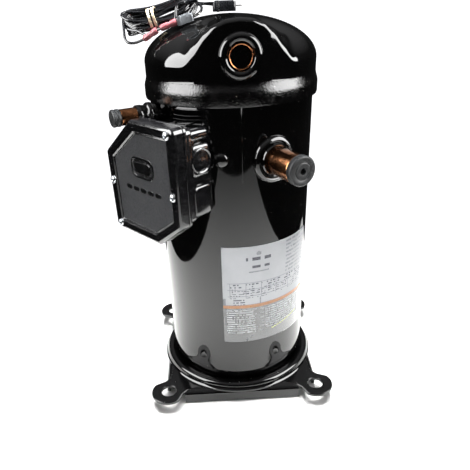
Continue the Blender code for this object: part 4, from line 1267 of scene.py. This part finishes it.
@dataclass
class TerminalBox:
    """The moulded wiring box on the shell's left, with its cover and screws."""

    angle: float = -138.0
    back: float = 114.0
    panel: float = 128.2
    shell: float = 89.7
    screws: tuple = ((45, 350), (47, 291), (-55.5, 288), (-53, 238))

    def corners(self, inset: float) -> list:
        """The box's six-sided outline.

        Args:
            inset: How far it is drawn in.

        Returns:
            Its corners.
        """
        left, right, low, high, slack = -62 + inset, 55 - inset, 231 + inset, 357 - inset, 0.42 * inset
        return [
            (left, low), (17 - slack, low), (right, 259 + slack), (right, high), (-12 + slack, high),
            (left, 319 - slack),
        ]

    def cover(self) -> bpy.types.Object:
        """The cover: a glossy rolled rim round a pebbled panel.

        Returns:
            The piece.
        """
        loop = rounded(self.corners(0), 6, 8)
        steps = (
            (0, 118), (0, 128.2), (1, 129.6), (3.2, 130.6), (10.2, 129.9), (11.8, 128), (12.6, 128.8),
            (13.3, self.panel),
        )
        layers = [(rounded(self.corners(inset), max(1.4, 6 - inset), 8), level) for inset, level in steps]
        frame = radial(self.angle, 0)
        piece = stacked("box_cover", layers, POLISHED_NYLON, frame)
        piece.data.materials.append(PEBBLED_NYLON.material())
        out = Vector((math.cos(math.radians(self.angle)), math.sin(math.radians(self.angle)), 0))
        for face in piece.data.polygons:
            if len(face.vertices) > 20 and face.center.dot(out) > self.panel * MM - 0.0002:
                face.material_index = 1
        soften(piece, 0.35, 2, 25)
        parts = [piece]
        parts.append(slab("back_lip", loop, self.back, 117.3, POLISHED_NYLON, frame, 0.5))
        neck = rounded(self.corners(1.1), 5, 8)
        parts.append(slab("groove", neck, 117.0, 118.4, POLISHED_NYLON, frame))
        high = self.panel
        badge = rounded([(-20, 299), (18, 299), (18, 321), (-20, 321)], 9, 8)
        cuts = ((2.2, -0.5), (3.4, 0.5))
        parts.append(slab("badge", badge, high - 0.4, high + 0.5, POLISHED_NYLON, frame, 0.2, cuts))
        for bar in range(5):
            left = -33 + 12.4 * bar
            dash = rounded([(left, 283.5), (left + 9.6, 283.5), (left + 9.6, 288.5), (left, 288.5)], 2.2, 5)
            parts.append(slab("dash", dash, high - 0.4, high + 0.4, POLISHED_NYLON, frame, 0.15))
        return joined("box_cover", parts)

    def body(self) -> bpy.types.Object:
        """The body: a deep wall scribed to the shell, its flange, bulges and knockouts.

        Returns:
            The piece.
        """
        frame = radial(self.angle, 0)
        loop = fine(rounded(self.corners(9), 7, 8), 4)
        wall = ring_of("box_body", [(x, y, math.sqrt(self.shell**2 - x * x)) for x, y in loop], "NOTHING")
        bpy.ops.object.mode_set(mode="EDIT")
        bpy.ops.mesh.select_all(action="SELECT")
        bpy.ops.mesh.extrude_edges_move(TRANSFORM_OT_translate={"value": (0, 0, 1)})
        bpy.ops.object.mode_set(mode="OBJECT")
        half = len(loop)
        for vertex in list(wall.data.vertices)[half:]:
            vertex.co.z = 108.5
        settle(wall, POLISHED_NYLON, frame)
        solid = wall.modifiers.new("thickness", "SOLIDIFY")
        solid.thickness, solid.offset = 3 * MM, -1
        rest()
        bpy.context.view_layer.objects.active = wall
        wall.select_set(True)
        bpy.ops.object.modifier_apply(modifier=solid.name)
        parts = [wall]
        lip = rounded(self.corners(4), 6, 8)
        parts.append(slab("lip", lip, 105, 111.8, POLISHED_NYLON, frame, 0.5, ((1.6, 0.0), (2.4, -1.0))))
        step = rounded(self.corners(6.6), 6, 8)
        parts.append(slab("step", step, 99.5, 105.2, POLISHED_NYLON, frame, 0.9))
        side = frame @ Matrix(((0, 0, 1, 0), (0, 1, 0, 0), (1, 0, 0, 0), (0, 0, 0, 1)))
        for low, high, top in ((338.5, 349.5, 48.8), (303.5, 336, 50.3), (262, 295, 50.3)):
            bulge = rounded([(80, low), (106, low), (106, high), (80, high)], min(6, (high - low) / 2.2), 6)
            parts.append(slab("bulge", bulge, 38, top, POLISHED_NYLON, side, 3.4))
        target = side @ Matrix.Translation((94, 320, 0))
        rings = [(0, 48), (12.6, 48), (12.6, 51.6), (11.8, 52.2), (10.6, 51.6), (10.2, 49.6), (6.6, 49.4)]
        rings += [(6.2, 50.4), (4.4, 50.6), (4, 49.6), (0, 49.4)]
        parts.append(spun("knockout", rings, POLISHED_NYLON, target, 56))
        top = frame @ Matrix.Rotation(math.radians(-90), 4, "X")
        plate = rounded([(2, -96), (8, -106), (24, -106), (30, -96), (24, -86), (8, -86)], 1.6, 4)
        cuts = ((0.8, -1.2), (0.7, 0.8))
        parts.append(slab("top_knockout", plate, 345, 349.4, POLISHED_NYLON, top, 0.6, cuts))
        return joined("box_body", parts)

    def screw(self, index: int, place: tuple) -> bpy.types.Object:
        """A pan-head screw with a washer face and a round drive.

        Args:
            index: Its number.
            place: Where it goes across the cover and up the shell.

        Returns:
            The piece.
        """
        head = [(0, 114), (2, 114), (2, 129.2), (4.9, 129.2), (5, 129.9), (4.3, 130.1), (4.1, 131.4)]
        head += [(3.2, 132.2), (1.9, 132.4), (1.5, 132), (1.4, 130.8), (0, 130.6)]
        frame = radial(self.angle, 0) @ Matrix.Translation((place[0], place[1], 0))
        return spun(f"screw_{index}", head, ZINC, frame, 24)

    def build(self) -> None:
        """Builds the body, cover and screws."""
        fit(self.body(), Body.CASING, "moulded_plastic", "terminal_box")
        fit(self.cover(), Body.COVER, "moulded_plastic", "terminal_cover")
        for index, place in enumerate(self.screws, 1):
            fit(self.screw(index, place), Body.COVER, "zinc_steel", f"cover_screw_{index}")


# The nameplate


class Ink(Enum):
    """What lies on a spot of the nameplate."""

    WHITE = PAPER
    GREY = GREY_INK
    DARK = DARK_INK
    OCHRE = OCHRE_INK
    LIME = LIME_INK
    CLEAR = SMOKE
    FINE = FINE_INK


@dataclass
class Nameplate:
    """The wrapped label: a white head and table over a smoke-clear foot, with no lettering."""

    low: float = 88.0
    high: float = 218.0
    first: float = -103.0
    last: float = -25.0
    radius: float = 89.75

    def ink(self, u: float, v: float) -> Ink:
        """What is printed at a place.

        Args:
            u: Distance from the left edge.
            v: Distance from the upper edge.

        Returns:
            The ink there.
        """
        dice = random.Random(int(u / 1.7) * 7919 + int(v / 2.6) * 104729)
        chance = dice.random()
        if v < 46:
            if (u - 43) ** 2 + (v - 9) ** 2 * 1.6 < 9:
                return Ink.GREY
            if 14 < v < 18 and 28 < u < 58 or 24 < v < 27.4 and 30 < u < 56:
                return Ink.DARK if int(u / 5) % 3 else Ink.WHITE
            if 31 < v < 32.6 and 31 < u < 55:
                return Ink.GREY
            if u > 80 and int(v / 2.4) % 2 and chance < 0.75 and u < 117:
                return Ink.GREY
            return Ink.WHITE
        if v < 67:
            if abs((v - 46) % 8.6) < 0.8 or abs((u - 8) % 19) < 0.7:
                return Ink.GREY if u > 6 else Ink.WHITE
            return Ink.DARK if int((v - 46) / 1.5) % 2 and chance < 0.34 and 8 < u < 112 else Ink.WHITE
        if v < 76:
            if u < 3 or (44 < u < 45.4) or v > 75.2:
                return Ink.GREY
            return Ink.DARK if 12 < u < 26 and int((v - 67) / 1.5) % 2 and chance < 0.7 else Ink.WHITE
        if v < 80.4:
            return Ink.OCHRE
        if 116 - 0.2 * (u - 60) < v < 117.4 - 0.2 * (u - 60) and 60 < u < 104:
            return Ink.LIME
        row = int((v - 81) / 1.6)
        if row % 2 and chance < 0.82 and v < 126:
            if 4 < u < 36 + 6 * dice.random() and v < 116:
                return Ink.FINE
            if 52 < u < 108 and v < 114:
                return Ink.FINE
            if 45 < u < 50 and v < 118 and row % 4 == 1:
                return Ink.FINE
        return Ink.CLEAR

    def build(self) -> None:
        """Builds the label."""
        across, down = 150, 162
        rest()
        bpy.ops.mesh.primitive_grid_add(x_subdivisions=across, y_subdivisions=down, size=1)
        sheet = bpy.context.object
        sheet.name = "label"
        wide = math.radians(self.last - self.first) * self.radius
        tall = self.high - self.low
        spots = [(((v.co.x + 0.5) * wide), (0.5 - v.co.y) * tall) for v in sheet.data.vertices]
        for vertex, (u, v) in zip(sheet.data.vertices, spots):
            turn = math.radians(self.first) + u / self.radius
            vertex.co = (self.radius * math.cos(turn), self.radius * math.sin(turn), self.high - v)
        kinds = list(Ink)
        marks = []
        for face in sheet.data.polygons:
            u = sum(spots[i][0] for i in face.vertices) / 4
            v = sum(spots[i][1] for i in face.vertices) / 4
            marks.append(kinds.index(self.ink(u, v)))
        sheet.data.transform(Matrix.Scale(MM, 4))
        for kind in kinds:
            sheet.data.materials.append(kind.value.material())
        for face, mark in zip(sheet.data.polygons, marks):
            face.material_index = mark
            face.use_smooth = True
        rest()
        sheet.select_set(True)
        bpy.context.view_layer.objects.active = sheet
        solid = sheet.modifiers.new("thickness", "SOLIDIFY")
        solid.thickness, solid.offset = 0.45 * MM, -1
        bpy.ops.object.modifier_apply(modifier=solid.name)
        fit(sheet, Body.CASING, "label_film", "nameplate")


# What stays as packed


DRESS: dict[Finish, tuple] = {
    ENAMEL: ("terminal_fence",),
    RUBBER: ("box_gasket",),
    ZINC: ("ground_screw", "scroll_bolt_1", "scroll_bolt_2", "scroll_bolt_3"),
    IRON: (
        "main_housing", "lower_bracket", "fixed_scroll", "orbiting_scroll", "upper_counterweight",
        "lower_counterweight",
    ),
    STEEL: (
        "crankshaft", "oil_pickup", "drive_bush", "muffler_plate", "valve_guard", "check_valve_disc",
        "terminal_block", "terminal_pin_1", "terminal_pin_2", "terminal_pin_3",
    ),
    LAMINATION: ("stator_core", "rotor_core"),
    WINDING: ("stator_winding",),
    ALUMINIUM: ("rotor_cage", "oldham_ring", "floating_seal"),
    BRONZE: ("lower_bush", "main_bush", "orbiting_bush", "gallery_plug", "relief_valve"),
}


def dress(nodes: dict) -> None:
    """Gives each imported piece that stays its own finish.

    Args:
        nodes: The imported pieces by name.
    """
    for finish, names in DRESS.items():
        for name in names:
            mesh = nodes[name].data
            mesh.materials.clear()
            mesh.materials.append(finish.material())
            LOG.info("%s: %s", name, finish.name)


def main() -> None:
    """Builds the compressor in order."""
    logging.basicConfig(level=logging.INFO, format="%(message)s")
    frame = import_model()
    Studio().build()
    Harness().build()
    Cap().build()
    Shell().build()
    Foot().build()
    for fitting in fittings():
        fitting.build()
    TerminalBox().build()
    Nameplate().build()
    dress(frame["nodes"])
    rest()


if __name__ == "__main__":
    main()
